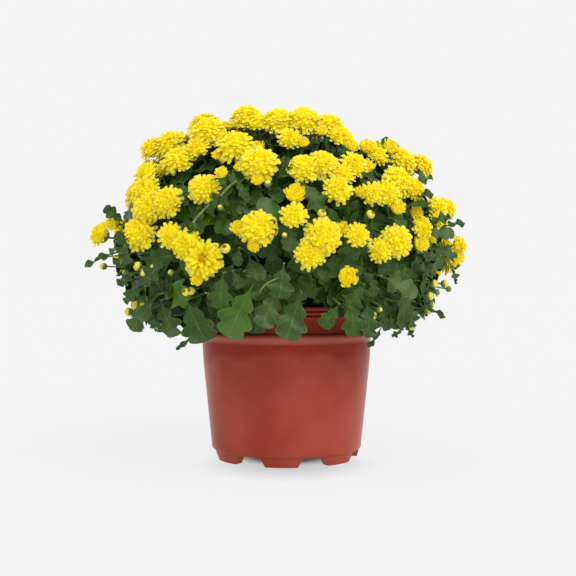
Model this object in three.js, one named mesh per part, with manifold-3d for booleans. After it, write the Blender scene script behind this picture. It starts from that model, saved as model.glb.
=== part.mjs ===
// A pot chrysanthemum: rooted cuttings in a plastic nursery pot, with a dome of double yellow blooms.
// Millimetres, +Z up. The origin is on the pot's axis, on the surface that its feet stand on.
// The plant's front faces -Y.
import * as THREE from 'three';
import Module from 'manifold-3d';

const wasm = await Module();
wasm.setup();
const { Manifold, Mesh } = wasm;

// ---------------------------------------------------------------- driving sizes

const GAP = 0.35; // kept between neighbouring pieces
const SEED = 8238;

// Pot: radii and heights of its outside.
const FOOT_COUNT = 7;
const FOOT_HEIGHT = 8.2;
const FOOT_OUTER_BOTTOM = 67;
const FOOT_OUTER_TOP = 69.2;
const FOOT_DEPTH = 8; // radial
const FOOT_GAP_TOP_DEG = 19; // between neighbouring feet
const FOOT_GAP_BOTTOM_DEG = 27;
const FOOT_TURN_DEG = -4.5;
const BODY_BOTTOM_RADIUS = 71.6;
const BASE_ROUND = 3;
const SHOULDER_RADIUS = 82.5;
const SHOULDER_HEIGHT = 114;
const COLLAR_RADIUS = 75.8;
const COLLAR_STEP = 3; // the ledge rises this much to the collar
const RIM_RADIUS = 78.2;
const RIM_HEIGHT = 145;
const RIDGE_HEIGHT = 4; // each of the stacking ridges below the rim
const RIDGE_COUNT = 3;
const RIDGE_STEP = 1.5; // flat above each ridge
const EDGE_ROUND = 0.7; // at the shoulder and the rim
const WALL = 1.6;
const FLOOR = 2;
const INNER_ROUND = 2; // between the floor and the wall
const FLOOR_RISE = 0.5; // the floor's underside above the tops of the gaps between the feet
const DRAIN_RADIUS = 4;
const DRAIN_RING = 42;
const DRAIN_COUNT = 5;
const DRAIN_SIDES = 8;
const ROUND_SEGMENTS = 26;

// Potting mix.
const SOIL_TOP = 131;
const SOIL_CROWN = 3; // how much higher it is in the middle
const SOIL_CROWN_RING = 0.55; // share of the radius inside which it is nearly level

// Dome that the blooms' middles lie on.
const DOME_CENTRE = new THREE.Vector3(-6, 0, 189);
const DOME_RADII = new THREE.Vector3(164, 152, 138);

// Cuttings, each in its own wedge of the plant.
const CUTTING_COUNT = 5;
const CUTTING_TURN_DEG = -90;
const ROOT_RING = 38;
const ROOT_DEPTH = 34; // how far the stem goes down into the mix
const STEM_RADIUS = 3.4;
const STEM_SIDES = 6;
const STEM_HOLE_TOP = SOIL_TOP + 15;
const STEM_HOLE_GAP = GAP * 1.2; // at the corners of its sides
const WEDGE_CORNER = 1.2; // from the pot's axis to each wedge's corner
const WEDGE_REACH = 400; // past the plant's whole size
const BEND_STEP = 0.25;
const BEND_TRIES = 60;
const SHOOT_RADIUS = 2.2;
const STALK_RADIUS = 1.2;

const BLADE_THICKNESS = 0.9;

// Front blooms, as seen from the eye point: across and up on the upright plane through the pot's
// axis, and the whole width there, with what the neighbours hide.
const EYE = new THREE.Vector3(0, -950, 162);
const FRONT_BLOOMS = [
  // along the top of the dome
  [-82, 325, 30], [-75, 312, 34], [-86, 300, 26], [-38, 324, 32], [-27, 321, 24],
  [-7, 322, 34], [3, 309, 24], [15, 321, 34], [17, 306, 13], [37, 318, 30], [53, 306, 26], [63, 298, 16],
  [-109, 299, 32], [-135, 300, 27], [-131, 275, 26],
  // upper front
  [-110, 286, 31], [-47, 301, 36], [-49, 281, 12], [-71, 291, 12], [-24, 281, 36], [-28, 271, 13],
  [17, 280, 30], [34, 284, 30], [34, 311, 13], [53, 271, 26], [50, 257, 29], [9, 255, 22], [65, 285, 28],
  [82, 280, 15], [87, 291, 22], [78, 296, 18], [97, 294, 18], [111, 283, 28], [127, 277, 28],
  [105, 267, 30], [122, 254, 24], [101, 253, 28], [109, 238, 17], [82, 254, 24],
  [69, 257, 12],
  // left
  [-137, 256, 31], [-147, 252, 15], [-137, 236, 33], [-112, 250, 31], [-82, 261, 30], [-61, 270, 14],
  [-146, 209, 34], [-116, 214, 26], [-95, 205, 30], [-78, 188, 36], [-84, 171, 15], [-27, 221, 35],
  [-49, 221, 16], [-32, 201, 12], [-176, 213, 26], [-163, 224, 18],
  // right
  [7, 231, 26], [35, 213, 34], [66, 212, 24], [22, 193, 29], [58, 174, 21], [111, 209, 31],
  [91, 198, 25], [144, 242, 26], [153, 238, 24], [128, 234, 17], [132, 222, 26], [146, 224, 22],
  [132, 205, 19], [166, 206, 20], [164, 188, 17],
];

// Front buds, given in the same way.
const FRONT_BUDS = [
  [-59, 200, 10], [70, 272, 8], [95, 277, 9], [81, 236, 9], [122, 248, 9], [34, 234, 9], [81, 203, 8],
  [-65, 241, 6], [-160, 210, 6], [-143, 182, 8], [-67, 290, 8], [-18, 263, 7], [-147, 238, 10],
  [-138, 178, 8], [-112, 177, 8], [-129, 182, 7], [-177, 192, 7], [-177, 183, 7], [-159, 168, 8],
  [-147, 145, 8], [-139, 144, 8], [-155, 140, 8], [-151, 129, 8], [-97, 158, 8], [-92, 159, 8],
  [143, 175, 8], [153, 173, 8], [139, 165, 8], [138, 153, 8], [136, 141, 8], [120, 126, 9],
  [89, 140, 8], [84, 135, 8], [111, 148, 8],
];

// Front leaves: across and up of the foot of the blade and of its tip, as seen from the eye point.
const FRONT_LEAVES = [
  [-35, 160, -59, 115], [13, 152, 0, 112], [47, 152, 36, 120], [-104, 134, -99, 101], [95, 136, 88, 103],
  [-128, 152, -152, 122], [126, 154, 149, 135], [-10, 158, -24, 124], [70, 158, 62, 122],
  [-70, 150, -84, 112], [112, 160, 118, 124], [18, 262, 36, 236], [-52, 262, -72, 240],
  [-10, 190, -2, 160], [96, 172, 128, 158], [-118, 190, -140, 168],
];
// The leaves that reach furthest to each side: foot and tip of the blade.
const OUTERMOST_LEAVES = [
  [[-150, -46, 196], [-187, -52, 189]],
  [[146, 80, 196], [183, 96, 190]],
  [[22, 142, 160], [34, 178, 147]],
];

// Side and back blooms, placed by the golden-angle rule.
const FILL_STEPS = 122;
const FILL_LOWEST = -0.1; // sine of the lowest bloom's height angle on the dome
const FILL_BEHIND = 10; // they start this far behind the pot's axis
const FILL_RADIUS = [14.5, 17];
const FILL_JITTER = 4;
const FILL_CROWDED = 0.92; // least distance of neighbours, as a share of their radii's sum
const NOTCH = { across: 67, up: 306, radius: 10 }; // a gap in the dome's outline that shows sky
const BLOOM_NODES = 52;
const SPRAY_REACH = 1.35; // most distance of blooms that are joined, as a share of their radii's sum
const SPRAY_MOST = 7; // blooms that may hold together as one body
const BLOOM_FLATNESS = 0.56;
const BLOOM_SINK = 5; // blooms lie this much above or below the dome
const BLOOM_RISE = 0.12; // how much they turn up
const BLOOM_TILT = 0.2; // how much they tilt any other way
const FRONT_TURN = 0.45; // how much the front ones turn to the front
const STALK_ROOM = 0.22;
const LEVEL = 0.07; // most difference in height of linked blooms, as a share of their radii's sum
const ALIKE = 0.6; // how much linked blooms turn to their shared direction
const CLEAR = 1.03; // how far unlinked blooms stay apart, as a share of their reaches
const HOLD = 0.76; // how close linked blooms come, as a share of their reaches
const SETTLE_ROUNDS = 80;

// ---------------------------------------------------------------- small helpers

const UP = new THREE.Vector3(0, 0, 1);
const radians = THREE.MathUtils.degToRad;
const vec = (x, y, z) => new THREE.Vector3(x, y, z);
const polar = (radius, angle, z) => vec(radius * Math.cos(angle), radius * Math.sin(angle), z);

// Park and Miller's generator: even draws from 0 to 1.
function makeDraw(seed) {
  let state = seed;
  return (low = 0, high = 1) => {
    state = (state * 16807) % 2147483647;
    return low + (high - low) * (state / 2147483647);
  };
}

function solidOf(points, faces) {
  const vertProperties = new Float32Array(points.flatMap((p) => [p.x, p.y, p.z]));
  const triVerts = new Uint32Array(faces.flat());
  return new Manifold(new Mesh({ numProp: 3, vertProperties, triVerts }));
}

function solidOfGeometry(geometry) {
  const source = geometry.getAttribute('position');
  const points = [];
  const seen = new Map();
  const renumbered = [];
  for (let i = 0; i < source.count; i++) {
    const point = vec().fromBufferAttribute(source, i);
    const key = point.toArray().map((value) => Math.round(value * 1e4)).join();
    if (!seen.has(key)) seen.set(key, points.push(point) - 1);
    renumbered.push(seen.get(key));
  }
  const order = geometry.index ? [...geometry.index.array] : renumbered.map((_, i) => i);
  const faces = [];
  for (let i = 0; i < order.length; i += 3) {
    const face = [0, 1, 2].map((corner) => renumbered[order[i + corner]]);
    if (new Set(face).size === 3) faces.push(face);
  }
  return solidOf(points, faces);
}

function joined(solids) {
  return solids.reduce((whole, solid) => whole.add(solid));
}

function meshOf(name, solid, material) {
  const { vertProperties, triVerts } = solid.getMesh();
  const geometry = new THREE.BufferGeometry();
  geometry.setAttribute('position', new THREE.BufferAttribute(vertProperties, 3));
  geometry.setIndex(new THREE.BufferAttribute(triVerts, 1));
  geometry.computeVertexNormals();
  const mesh = new THREE.Mesh(geometry, material);
  mesh.name = name;
  return mesh;
}

// The faces between rings of equally many points, numbered ring by ring from a first number. The
// rings run counterclockwise when the last one faces the viewer.
function facesBetween(ringCount, around, first) {
  const faces = [];
  for (let ring = 0; ring < ringCount - 1; ring++) {
    for (let i = 0; i < around; i++) {
      const next = (i + 1) % around;
      const lower = first + ring * around;
      const upper = lower + around;
      faces.push([lower + i, lower + next, upper + next], [lower + i, upper + next, upper + i]);
    }
  }
  return faces;
}

// A closed skin over rings, drawn to a point at each end.
function pointedSkin(start, rings, end) {
  const around = rings[0].length;
  const points = [start, ...rings.flat(), end];
  const last = points.length - 1;
  const faces = facesBetween(rings.length, around, 1);
  for (let i = 0; i < around; i++) {
    const next = (i + 1) % around;
    faces.push([0, 1 + next, 1 + i], [last, last - around + i, last - around + next]);
  }
  return solidOf(points, faces);
}

// A closed skin over rings, with a flat face at each end.
function flatEndedSkin(rings) {
  const around = rings[0].length;
  const points = rings.flat();
  const end = points.length - around;
  const faces = facesBetween(rings.length, around, 0);
  for (let i = 1; i < around - 1; i++) faces.push([0, i + 1, i], [end, end + i, end + i + 1]);
  return solidOf(points, faces);
}

// A tapered limb through the points, with few sides.
function limb(points, radii, sides) {
  let across = vec(0.36, 0.48, 0.8);
  const rings = points.map((point, i) => {
    const before = points[Math.max(i - 1, 0)];
    const after = points[Math.min(i + 1, points.length - 1)];
    const along = after.clone().sub(before).normalize();
    across = across.clone().addScaledVector(along, -across.dot(along)).normalize();
    const over = along.clone().cross(across);
    return Array.from({ length: sides }, (_, side) => {
      const turn = (side / sides) * 2 * Math.PI;
      return point.clone()
        .addScaledVector(across, radii[i] * Math.cos(turn))
        .addScaledVector(over, radii[i] * Math.sin(turn));
    });
  });
  return flatEndedSkin(rings);
}

// ---------------------------------------------------------------- pot

function turned(profile, segments = ROUND_SEGMENTS) {
  const outline = profile.map(([radius, z]) => new THREE.Vector2(radius, z));
  const geometry = new THREE.LatheGeometry(outline, segments);
  return solidOfGeometry(geometry.rotateX(Math.PI / 2));
}

function wallRadius(z) {
  const share = (z - FOOT_HEIGHT) / (SHOULDER_HEIGHT - FOOT_HEIGHT);
  return THREE.MathUtils.lerp(BODY_BOTTOM_RADIUS, SHOULDER_RADIUS, share);
}

// The outside from the foot ring up to the rim.
function potOutside() {
  const profile = [
    [0, 0],
    [FOOT_OUTER_BOTTOM, 0],
    [FOOT_OUTER_TOP, FOOT_HEIGHT + FLOOR_RISE],
    [wallRadius(FOOT_HEIGHT + BASE_ROUND), FOOT_HEIGHT + BASE_ROUND],
    [SHOULDER_RADIUS, SHOULDER_HEIGHT],
    [SHOULDER_RADIUS - EDGE_ROUND, SHOULDER_HEIGHT + EDGE_ROUND],
    [COLLAR_RADIUS, SHOULDER_HEIGHT + COLLAR_STEP],
  ];
  for (let ridge = RIDGE_COUNT; ridge > 0; ridge--) {
    const z = RIM_HEIGHT - ridge * RIDGE_HEIGHT;
    profile.push([COLLAR_RADIUS + EDGE_ROUND, z], [RIM_RADIUS, z + RIDGE_HEIGHT - RIDGE_STEP]);
  }
  profile.push([RIM_RADIUS - EDGE_ROUND, RIM_HEIGHT], [0, RIM_HEIGHT]);
  return turned(profile);
}

// The room inside, or what fills it with a gap all round.
function potInside(gap, top, segments = ROUND_SEGMENTS) {
  const floor = FOOT_HEIGHT + FLOOR_RISE + FLOOR + gap;
  const shoulder = SHOULDER_HEIGHT - WALL / 2;
  const inner = wallRadius(shoulder) - WALL - gap;
  const neck = COLLAR_RADIUS - WALL - gap;
  return turned([
    [0, floor],
    [wallRadius(floor) - WALL - gap - INNER_ROUND, floor],
    [wallRadius(floor + INNER_ROUND) - WALL - gap, floor + INNER_ROUND],
    [inner, shoulder],
    [neck, shoulder + COLLAR_STEP],
    [neck, top],
    [neck * SOIL_CROWN_RING, top + SOIL_CROWN * 0.8],
    [0, top + SOIL_CROWN],
  ], segments);
}

// A wedge that opens the gap between two feet, wider at the bottom.
function footGap(middle) {
  const reach = FOOT_OUTER_TOP * 1.2;
  const below = -FOOT_HEIGHT / 2;
  const slope = (FOOT_GAP_BOTTOM_DEG - FOOT_GAP_TOP_DEG) / FOOT_HEIGHT;
  const lowHalf = radians(FOOT_GAP_BOTTOM_DEG - slope * below) / 2;
  const topHalf = radians(FOOT_GAP_TOP_DEG) / 2;
  const near = FOOT_OUTER_TOP - FOOT_DEPTH * 3;
  const ring = (radius) => [
    polar(radius, middle - lowHalf, below), polar(radius, middle + lowHalf, below),
    polar(radius, middle + topHalf, FOOT_HEIGHT), polar(radius, middle - topHalf, FOOT_HEIGHT),
  ];
  return solidOf(
    [...ring(near), ...ring(reach)],
    [
      [0, 2, 1], [0, 3, 2], [4, 5, 6], [4, 6, 7], [0, 5, 4], [0, 1, 5],
      [1, 6, 5], [1, 2, 6], [2, 7, 6], [2, 3, 7], [3, 4, 7], [3, 0, 4],
    ],
  );
}

function drainHole(angle) {
  const length = FOOT_HEIGHT * 2;
  const post = new THREE.CylinderGeometry(DRAIN_RADIUS, DRAIN_RADIUS, length, DRAIN_SIDES)
    .rotateX(Math.PI / 2);
  const at = polar(DRAIN_RING, angle, FOOT_HEIGHT);
  return solidOfGeometry(post.translate(at.x, at.y, at.z));
}

function pot() {
  const hollow = potInside(0, RIM_HEIGHT * 1.1);
  const within = FOOT_OUTER_BOTTOM - FOOT_DEPTH;
  const recess = (FOOT_HEIGHT + FLOOR_RISE) * 2;
  const underside = new THREE.CylinderGeometry(within, within, recess, ROUND_SEGMENTS)
    .rotateX(Math.PI / 2);
  let solid = potOutside().subtract(hollow).subtract(solidOfGeometry(underside));
  for (let i = 0; i < FOOT_COUNT; i++) {
    const middle = ((i + 0.5) / FOOT_COUNT) * 2 * Math.PI - Math.PI / 2 + radians(FOOT_TURN_DEG);
    solid = solid.subtract(footGap(middle));
  }
  for (let i = 0; i < DRAIN_COUNT; i++) {
    solid = solid.subtract(drainHole(((i + 0.25) / DRAIN_COUNT) * 2 * Math.PI));
  }
  return solid;
}

// ---------------------------------------------------------------- cuttings' places

function cuttingAngle(cutting) {
  return radians(CUTTING_TURN_DEG) + (cutting / CUTTING_COUNT) * 2 * Math.PI;
}

function stemRoot(cutting) {
  return polar(ROOT_RING, cuttingAngle(cutting), SOIL_TOP - ROOT_DEPTH);
}

// Angle from a cutting's middle, from -180 to 180 degrees, in radians.
function angleFromMiddle(point, cutting) {
  const turn = Math.atan2(point.y, point.x) - cuttingAngle(cutting);
  return Math.atan2(Math.sin(turn), Math.cos(turn));
}

function cuttingOf(point) {
  const turns = Array.from({ length: CUTTING_COUNT }, (_, i) => Math.abs(angleFromMiddle(point, i)));
  return turns.indexOf(Math.min(...turns));
}

// How far a point is inside its cutting's wedge.
function depthInWedge(point, cutting) {
  const off = Math.PI / CUTTING_COUNT - Math.abs(angleFromMiddle(point, cutting));
  return Math.hypot(point.x, point.y) * Math.sin(THREE.MathUtils.clamp(off, -Math.PI / 2, Math.PI / 2));
}

// The point, moved towards the wedge's middle plane until it is clear of the neighbouring wedge.
function bentClear(point, cutting, margin) {
  const angle = cuttingAngle(cutting);
  const side = Math.sign(angleFromMiddle(point, cutting));
  const inward = polar(-side, angle + Math.PI / 2, 0);
  const moved = point.clone();
  const outward = polar(1, angle, 0);
  for (let i = 0; i < BEND_TRIES && depthInWedge(moved, cutting) < margin; i++) {
    moved.addScaledVector(inward.clone().add(outward), BEND_STEP);
  }
  return moved;
}

// ---------------------------------------------------------------- soil

function soil() {
  let solid = potInside(GAP, SOIL_TOP, ROUND_SEGMENTS / 2);
  for (let cutting = 0; cutting < CUTTING_COUNT; cutting++) {
    const root = stemRoot(cutting);
    const hole = limb(
      [root.clone().addScaledVector(UP, -GAP), root.clone().setZ(STEM_HOLE_TOP)],
      [STEM_RADIUS + STEM_HOLE_GAP, STEM_RADIUS + STEM_HOLE_GAP],
      STEM_SIDES,
    );
    solid = solid.subtract(hole);
  }
  return solid;
}

// ---------------------------------------------------------------- blooms' places

function outwardOnDome(point) {
  const scaled = point.clone().sub(DOME_CENTRE).divide(DOME_RADII).divide(DOME_RADII);
  return scaled.normalize();
}

// Where the sight line through a place on the middle plane first meets the dome, or passes closest
// to it. The share is how far along the line that is, with 1 at the middle plane.
function sighted(across, up, dome = DOME_RADII) {
  const line = vec(across, 0, up).sub(EYE);
  const start = EYE.clone().sub(DOME_CENTRE).divide(dome);
  const step = line.clone().divide(dome);
  const a = step.lengthSq();
  const b = start.dot(step);
  const c = start.lengthSq() - 1;
  const share = (-b - Math.sqrt(Math.max(b * b - a * c, 0))) / a;
  return { place: EYE.clone().addScaledVector(line, share), share };
}

function bloomAt(place, radius, turn, draw) {
  place.addScaledVector(outwardOnDome(place), draw(-BLOOM_SINK, BLOOM_SINK));
  const tilt = () => draw(-BLOOM_TILT, BLOOM_TILT);
  const facing = outwardOnDome(place).add(vec(tilt(), tilt() - turn, tilt() + BLOOM_RISE)).normalize();
  return { place, radius, facing, roll: draw(0, 2 * Math.PI) };
}

function frontBlooms(draw) {
  return FRONT_BLOOMS.map(([across, up, width]) => {
    const { place, share } = sighted(across, up);
    return bloomAt(place, (width * share) / 2, FRONT_TURN, draw);
  });
}

function hidesNotch(place, radius) {
  const share = -EYE.y / (place.y - EYE.y);
  const seen = place.clone().sub(EYE).multiplyScalar(share).add(EYE);
  return Math.hypot(seen.x - NOTCH.across, seen.z - NOTCH.up) < NOTCH.radius + radius;
}

function fillBlooms(front, draw) {
  const blooms = [...front];
  const golden = Math.PI * (3 - Math.sqrt(5));
  for (let i = 0; i < FILL_STEPS; i++) {
    const lift = 1 - ((i + 0.5) / FILL_STEPS) * (1 - FILL_LOWEST);
    const spread = Math.sqrt(1 - lift * lift);
    const place = vec(spread * Math.cos(i * golden), spread * Math.sin(i * golden), lift)
      .multiply(DOME_RADII).add(DOME_CENTRE);
    const jitter = () => draw(-FILL_JITTER, FILL_JITTER);
    place.add(vec(jitter(), jitter(), jitter()));
    const radius = draw(...FILL_RADIUS);
    const crowded = blooms.some((other) => (
      other.place.distanceTo(place) < FILL_CROWDED * (other.radius + radius)
    ));
    if (place.y > FILL_BEHIND && !crowded && !hidesNotch(place, radius)) {
      blooms.push(bloomAt(place, radius, 0, draw));
    }
  }
  return blooms;
}

// Linked blooms face nearly the same way.
function turnAlike(one, other) {
  const shared = one.facing.clone().add(other.facing).normalize();
  one.facing.lerp(shared, ALIKE).normalize();
  other.facing.lerp(shared, ALIKE).normalize();
}

// Numbers the blooms that hold together: the closest pairs are joined first, until few enough
// bodies are left.
function gatherSprays(blooms) {
  const spray = blooms.map((_, i) => i);
  const pairs = [];
  blooms.forEach((one, i) => {
    blooms.slice(i + 1).forEach((other, k) => {
      const closeness = one.place.distanceTo(other.place) / (one.radius + other.radius);
      if (closeness < SPRAY_REACH) pairs.push({ i, j: i + 1 + k, closeness });
    });
  });
  pairs.sort((one, other) => one.closeness - other.closeness);
  const links = [];
  let bodies = blooms.length;
  for (const { i, j } of pairs) {
    const size = spray.filter((label) => label === spray[i] || label === spray[j]).length;
    if (bodies > BLOOM_NODES && spray[i] !== spray[j] && size <= SPRAY_MOST) {
      const [kept, dropped] = [spray[i], spray[j]];
      spray.forEach((label, k) => {
        if (label === dropped) spray[k] = kept;
      });
      links.push([i, j]);
      turnAlike(blooms[i], blooms[j]);
      bodies -= 1;
    }
  }
  return { spray, links };
}

// How far a bloom reaches in a direction: it is flatter along the way that it faces.
function reachTowards({ radius, facing }, direction) {
  const along = facing.dot(direction);
  return radius / Math.sqrt(1 - along * along + (along / BLOOM_FLATNESS) ** 2);
}

// Blooms of one spray come no nearer than this, so that each has room for its stalk.
function nearestLinked(one, other) {
  return Math.max(one.radius, other.radius) + STALK_ROOM * Math.min(one.radius, other.radius);
}

// Brings linked blooms to nearly the same height along the way that they face.
function level(one, other) {
  const facing = one.facing.clone().add(other.facing).normalize();
  const step = other.place.clone().sub(one.place).dot(facing);
  const most = LEVEL * (one.radius + other.radius);
  const excess = step - THREE.MathUtils.clamp(step, -most, most);
  one.place.addScaledVector(facing, excess / 2);
  other.place.addScaledVector(facing, -excess / 2);
}

// Draws linked blooms together until they hold, and moves all others apart until they are clear.
function settle(blooms, spray, links) {
  const shift = (one, other, wanted) => {
    const between = other.place.clone().sub(one.place);
    const amount = (between.length() - wanted) / 2;
    between.normalize();
    one.place.addScaledVector(between, amount);
    other.place.addScaledVector(between, -amount);
  };
  for (let round = 0; round < SETTLE_ROUNDS; round++) {
    for (const [i, j] of links) {
      const direction = blooms[j].place.clone().sub(blooms[i].place).normalize();
      const reaches = reachTowards(blooms[i], direction) + reachTowards(blooms[j], direction);
      const held = Math.max(HOLD * reaches, nearestLinked(blooms[i], blooms[j]));
      if (blooms[i].place.distanceTo(blooms[j].place) > held) shift(blooms[i], blooms[j], held);
      level(blooms[i], blooms[j]);
    }
    for (let i = 0; i < blooms.length; i++) {
      for (let j = i + 1; j < blooms.length; j++) {
        const direction = blooms[j].place.clone().sub(blooms[i].place).normalize();
        const reaches = reachTowards(blooms[i], direction) + reachTowards(blooms[j], direction);
        const linked = spray[i] === spray[j];
        const clear = linked ? nearestLinked(blooms[i], blooms[j]) : CLEAR * reaches + GAP;
        if (blooms[i].place.distanceTo(blooms[j].place) < clear) shift(blooms[i], blooms[j], clear);
      }
    }
  }
}

// Two directions across a bloom, before it is rolled.
function acrossBloom(facing) {
  const side = vec(0.6, 0.8, 0).cross(facing).normalize();
  return { side, over: facing.clone().cross(side) };
}

// Rolls linked blooms so that each points a petal at the other.
function joinPetals(blooms, links) {
  const point = (one, other) => {
    const { side, over } = acrossBloom(one.facing);
    const between = other.place.clone().sub(one.place);
    one.roll = Math.atan2(between.dot(over), between.dot(side));
  };
  for (const [i, j] of links) {
    point(blooms[i], blooms[j]);
    point(blooms[j], blooms[i]);
  }
}

// ---------------------------------------------------------------- blooms

// Rings of petal tips and of the notches between them, from the outermost petals up: tip radius,
// tip height, notch radius and notch height, as shares of the bloom's radius.
const OPEN_TIERS = [
  [1, -0.08, 0.8, 0.06],
  [0.82, 0.34, 0.62, 0.34],
  [0.5, 0.64, 0.34, 0.56],
];
const OPENING_TIERS = [
  [0.98, 0.1, 0.8, 0.05],
  [0.68, 0.64, 0.48, 0.54],
];
const OPEN_PETALS = 6; // in each tier
const OPENING_PETALS = 5;
const OPENING_RADIUS = 9.5; // smaller blooms are still opening
const FULL_RADIUS = 16.4; // larger blooms have all the tiers
const UNDERSIDE = 0.34; // depth of the middle of the underside, as a share of the radius
const MIDDLE_TOP = 0.68;

function bloomSolid(bloom) {
  const opening = bloom.radius < OPENING_RADIUS;
  const tiers = opening ? OPENING_TIERS : OPEN_TIERS.slice(0, bloom.radius < FULL_RADIUS ? 2 : 3);
  const petals = opening ? OPENING_PETALS : OPEN_PETALS;
  const { side, over } = acrossBloom(bloom.facing);
  const at = (radius, angle, height) => bloom.place.clone()
    .addScaledVector(side, bloom.radius * radius * Math.cos(angle + bloom.roll))
    .addScaledVector(over, bloom.radius * radius * Math.sin(angle + bloom.roll))
    .addScaledVector(bloom.facing, bloom.radius * height);
  const rings = tiers.map(([tip, tipHeight, notch, notchHeight], tier) => (
    Array.from({ length: petals * 2 }, (_, i) => {
      const angle = (i / petals) * Math.PI;
      return (i + tier) % 2 === 0 ? at(tip, angle, tipHeight) : at(notch, angle, notchHeight);
    })
  ));
  return pointedSkin(at(0, 0, -UNDERSIDE), rings, at(0, 0, MIDDLE_TOP));
}

// ---------------------------------------------------------------- leaves

// Half of a lobed blade's outline from the foot of its stalk to its last notch: share of the
// length, half width and lift, as shares of the length. The tip closes it.
const LOBED_BLADE = [
  [0, 0.016, 0], [0.36, 0.27, 0.06], [0.46, 0.1, 0], [0.68, 0.33, 0.08], [0.78, 0.12, 0],
];
const SMALL_BLADE = [[0, 0.016, 0], [0.55, 0.3, 0.07], [0.67, 0.13, 0]];

// One face of a blade. Its points are numbered up the right side, the tip, then down the left side.
function bladeFaces(half) {
  const last = half * 2;
  const faces = [[0, 1, 2], [0, 2, last - 2], [0, last - 2, last], [last, last - 2, last - 1]];
  for (let row = 2; row + 2 < half; row += 2) {
    const left = last - row;
    faces.push([row, row + 1, row + 2], [row, row + 2, left - 2]);
    faces.push([row, left - 2, left], [left, left - 2, left - 1]);
  }
  faces.push([half - 1, half, half + 1]);
  return faces;
}

// The middle surface of a leaf that starts at root and bends down along its length.
function bladePoints({ root, aim, facing, length, droop, lift, blade }) {
  const along = aim.clone().normalize();
  const face = facing.clone().addScaledVector(along, -facing.dot(along)).normalize();
  const left = face.clone().cross(along);
  const at = (share, half, raised) => root.clone()
    .addScaledVector(along, length * share * (1 - 0.3 * droop * share))
    .addScaledVector(left, length * half)
    .addScaledVector(face, length * (lift * raised - droop * share * share));
  const right = blade.map(([share, half, raised]) => at(share, -half, raised));
  const other = blade.map(([share, half, raised]) => at(share, half, raised)).reverse();
  return { points: [...right, at(1, 0, 0), ...other], face };
}

function leafSolid(leaf) {
  const { points, face } = bladePoints(leaf);
  const count = points.length;
  const upper = bladeFaces(leaf.blade.length);
  const faces = [...upper, ...upper.map(([a, b, c]) => [a + count, c + count, b + count])];
  for (let here = 0; here < count; here++) {
    const next = (here + 1) % count;
    faces.push([here + count, next + count, next], [here + count, next, here]);
  }
  const shifted = (amount) => points.map((point) => point.clone().addScaledVector(face, amount));
  return solidOf([...shifted(BLADE_THICKNESS / 2), ...shifted(-BLADE_THICKNESS / 2)], faces);
}

// ---------------------------------------------------------------- keeping clear

const STALK_CLEAR = 2.2; // from another cutting's wedge to the middle of a stalk
const LEAF_CLEAR = 2.4; // from a bloom to a leaf's middle surface
const LEAF_WEDGE_CLEAR = 1; // from another cutting's wedge
const POT_CLEAR = 4;
const BLOOM_DEPTH = 0.6; // half of what a bloom keeps clear along its facing, as a share of its radius

function hitsBloom(point, blooms, spare) {
  return blooms.some(({ place, facing, radius }) => {
    const off = point.clone().sub(place);
    const height = off.dot(facing);
    const across = Math.sqrt(Math.max(off.lengthSq() - height * height, 0));
    return (across / (radius + spare)) ** 2 + (height / (BLOOM_DEPTH * radius + spare)) ** 2 < 1;
  });
}

function hitsPot(point) {
  return Math.hypot(point.x, point.y) < SHOULDER_RADIUS + POT_CLEAR && point.z < RIM_HEIGHT + POT_CLEAR;
}

function leafIsClear(leaf, cutting, blooms) {
  const { points } = bladePoints(leaf);
  const tip = leaf.blade.length;
  const middles = points.flatMap((point, i) => [
    point.clone().lerp(points[(i + 1) % points.length], 0.5),
    point.clone().lerp(points[tip], 0.5),
  ]);
  return [...points, ...middles].every((point) => (
    depthInWedge(point, cutting) > LEAF_WEDGE_CLEAR
      && !hitsBloom(point, blooms, LEAF_CLEAR)
      && !hitsPot(point)
  ));
}

// ---------------------------------------------------------------- cuttings

// The thick of twigs and inner leaves under the blooms: height angle and size of each ring of its
// surface, as a share of the dome.
const THICKET_RINGS = [[-21, 0.68], [-7, 0.77], [9, 0.78], [25, 0.78], [42, 0.78], [60, 0.77], [76, 0.76]];
const THICKET_AROUND = 18;
const THICKET_ROUGH = 0.03;
const THICKET_TIPS = 0.06; // every other point stands out this much more, like a leaf's tip
const THICKET_TOP = 0.79; // of the way out to the dome
const THICKET_BOTTOM = 153;
const THICKET_START = THICKET_BOTTOM + 12; // lowest start of what grows from it
const STEM_TOP = THICKET_BOTTOM + 22;
const STEM_TAPER = 0.9;
const STALK_START = 0.62; // of the way out to the dome

// Leafy side shoots: degrees from the cutting's middle, distance from the pot's axis and height of
// each end, and number of leaves.
const SHOOTS = [
  [-27, 114, 147, 2], [-6, 122, 150, 3], [19, 117, 148, 2], [-17, 136, 171, 2], [12, 136, 168, 1],
];
const SHOOT_JITTER = 5;
const SHOOT_RISE = 15; // a shoot starts this much nearer the plant's middle height than it ends
const SHOOT_TAPER = 0.8;
const SHOOT_SIDES = 4;
const STALK_SIDES = 3;
const SHOOT_LEAVES = [0.97, 0.78, 0.6]; // shares of a shoot's length where its leaves sit
const LEAF_LENGTH = [44, 58];
const LEAF_DROOP = [0.12, 0.3]; // of the tip, as a share of the length
const LEAF_SWAY = 2.2; // most turn of a leaf from straight out, in radians
const LOW_SHOOT = 160; // leaves of shoots that end below this hang down
const LEAF_TRIES = 30;
const LEAF_ROOT_REACH = 7;
const THICKET_LEAVES = 2; // on each cutting
const THICKET_LEAF_ROOT = 0.7; // of the way out to the dome
const THICKET_LEAF_LENGTH = [48, 62];
const CALYX = 0.13; // radius of a stalk's end, as a share of the bloom's
const CALYX_GAP = 0.09; // more room under the bloom, because a stalk may come at a slant
const STALK_LIFTS = [0, -30, 30, -60, 60, -90, 90]; // ways that a stalk may lean
const STALK_SAMPLES = [0.5, 0.65, 0.75, 0.83, 0.89, 0.94, 0.98]; // where it is tested
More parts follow.
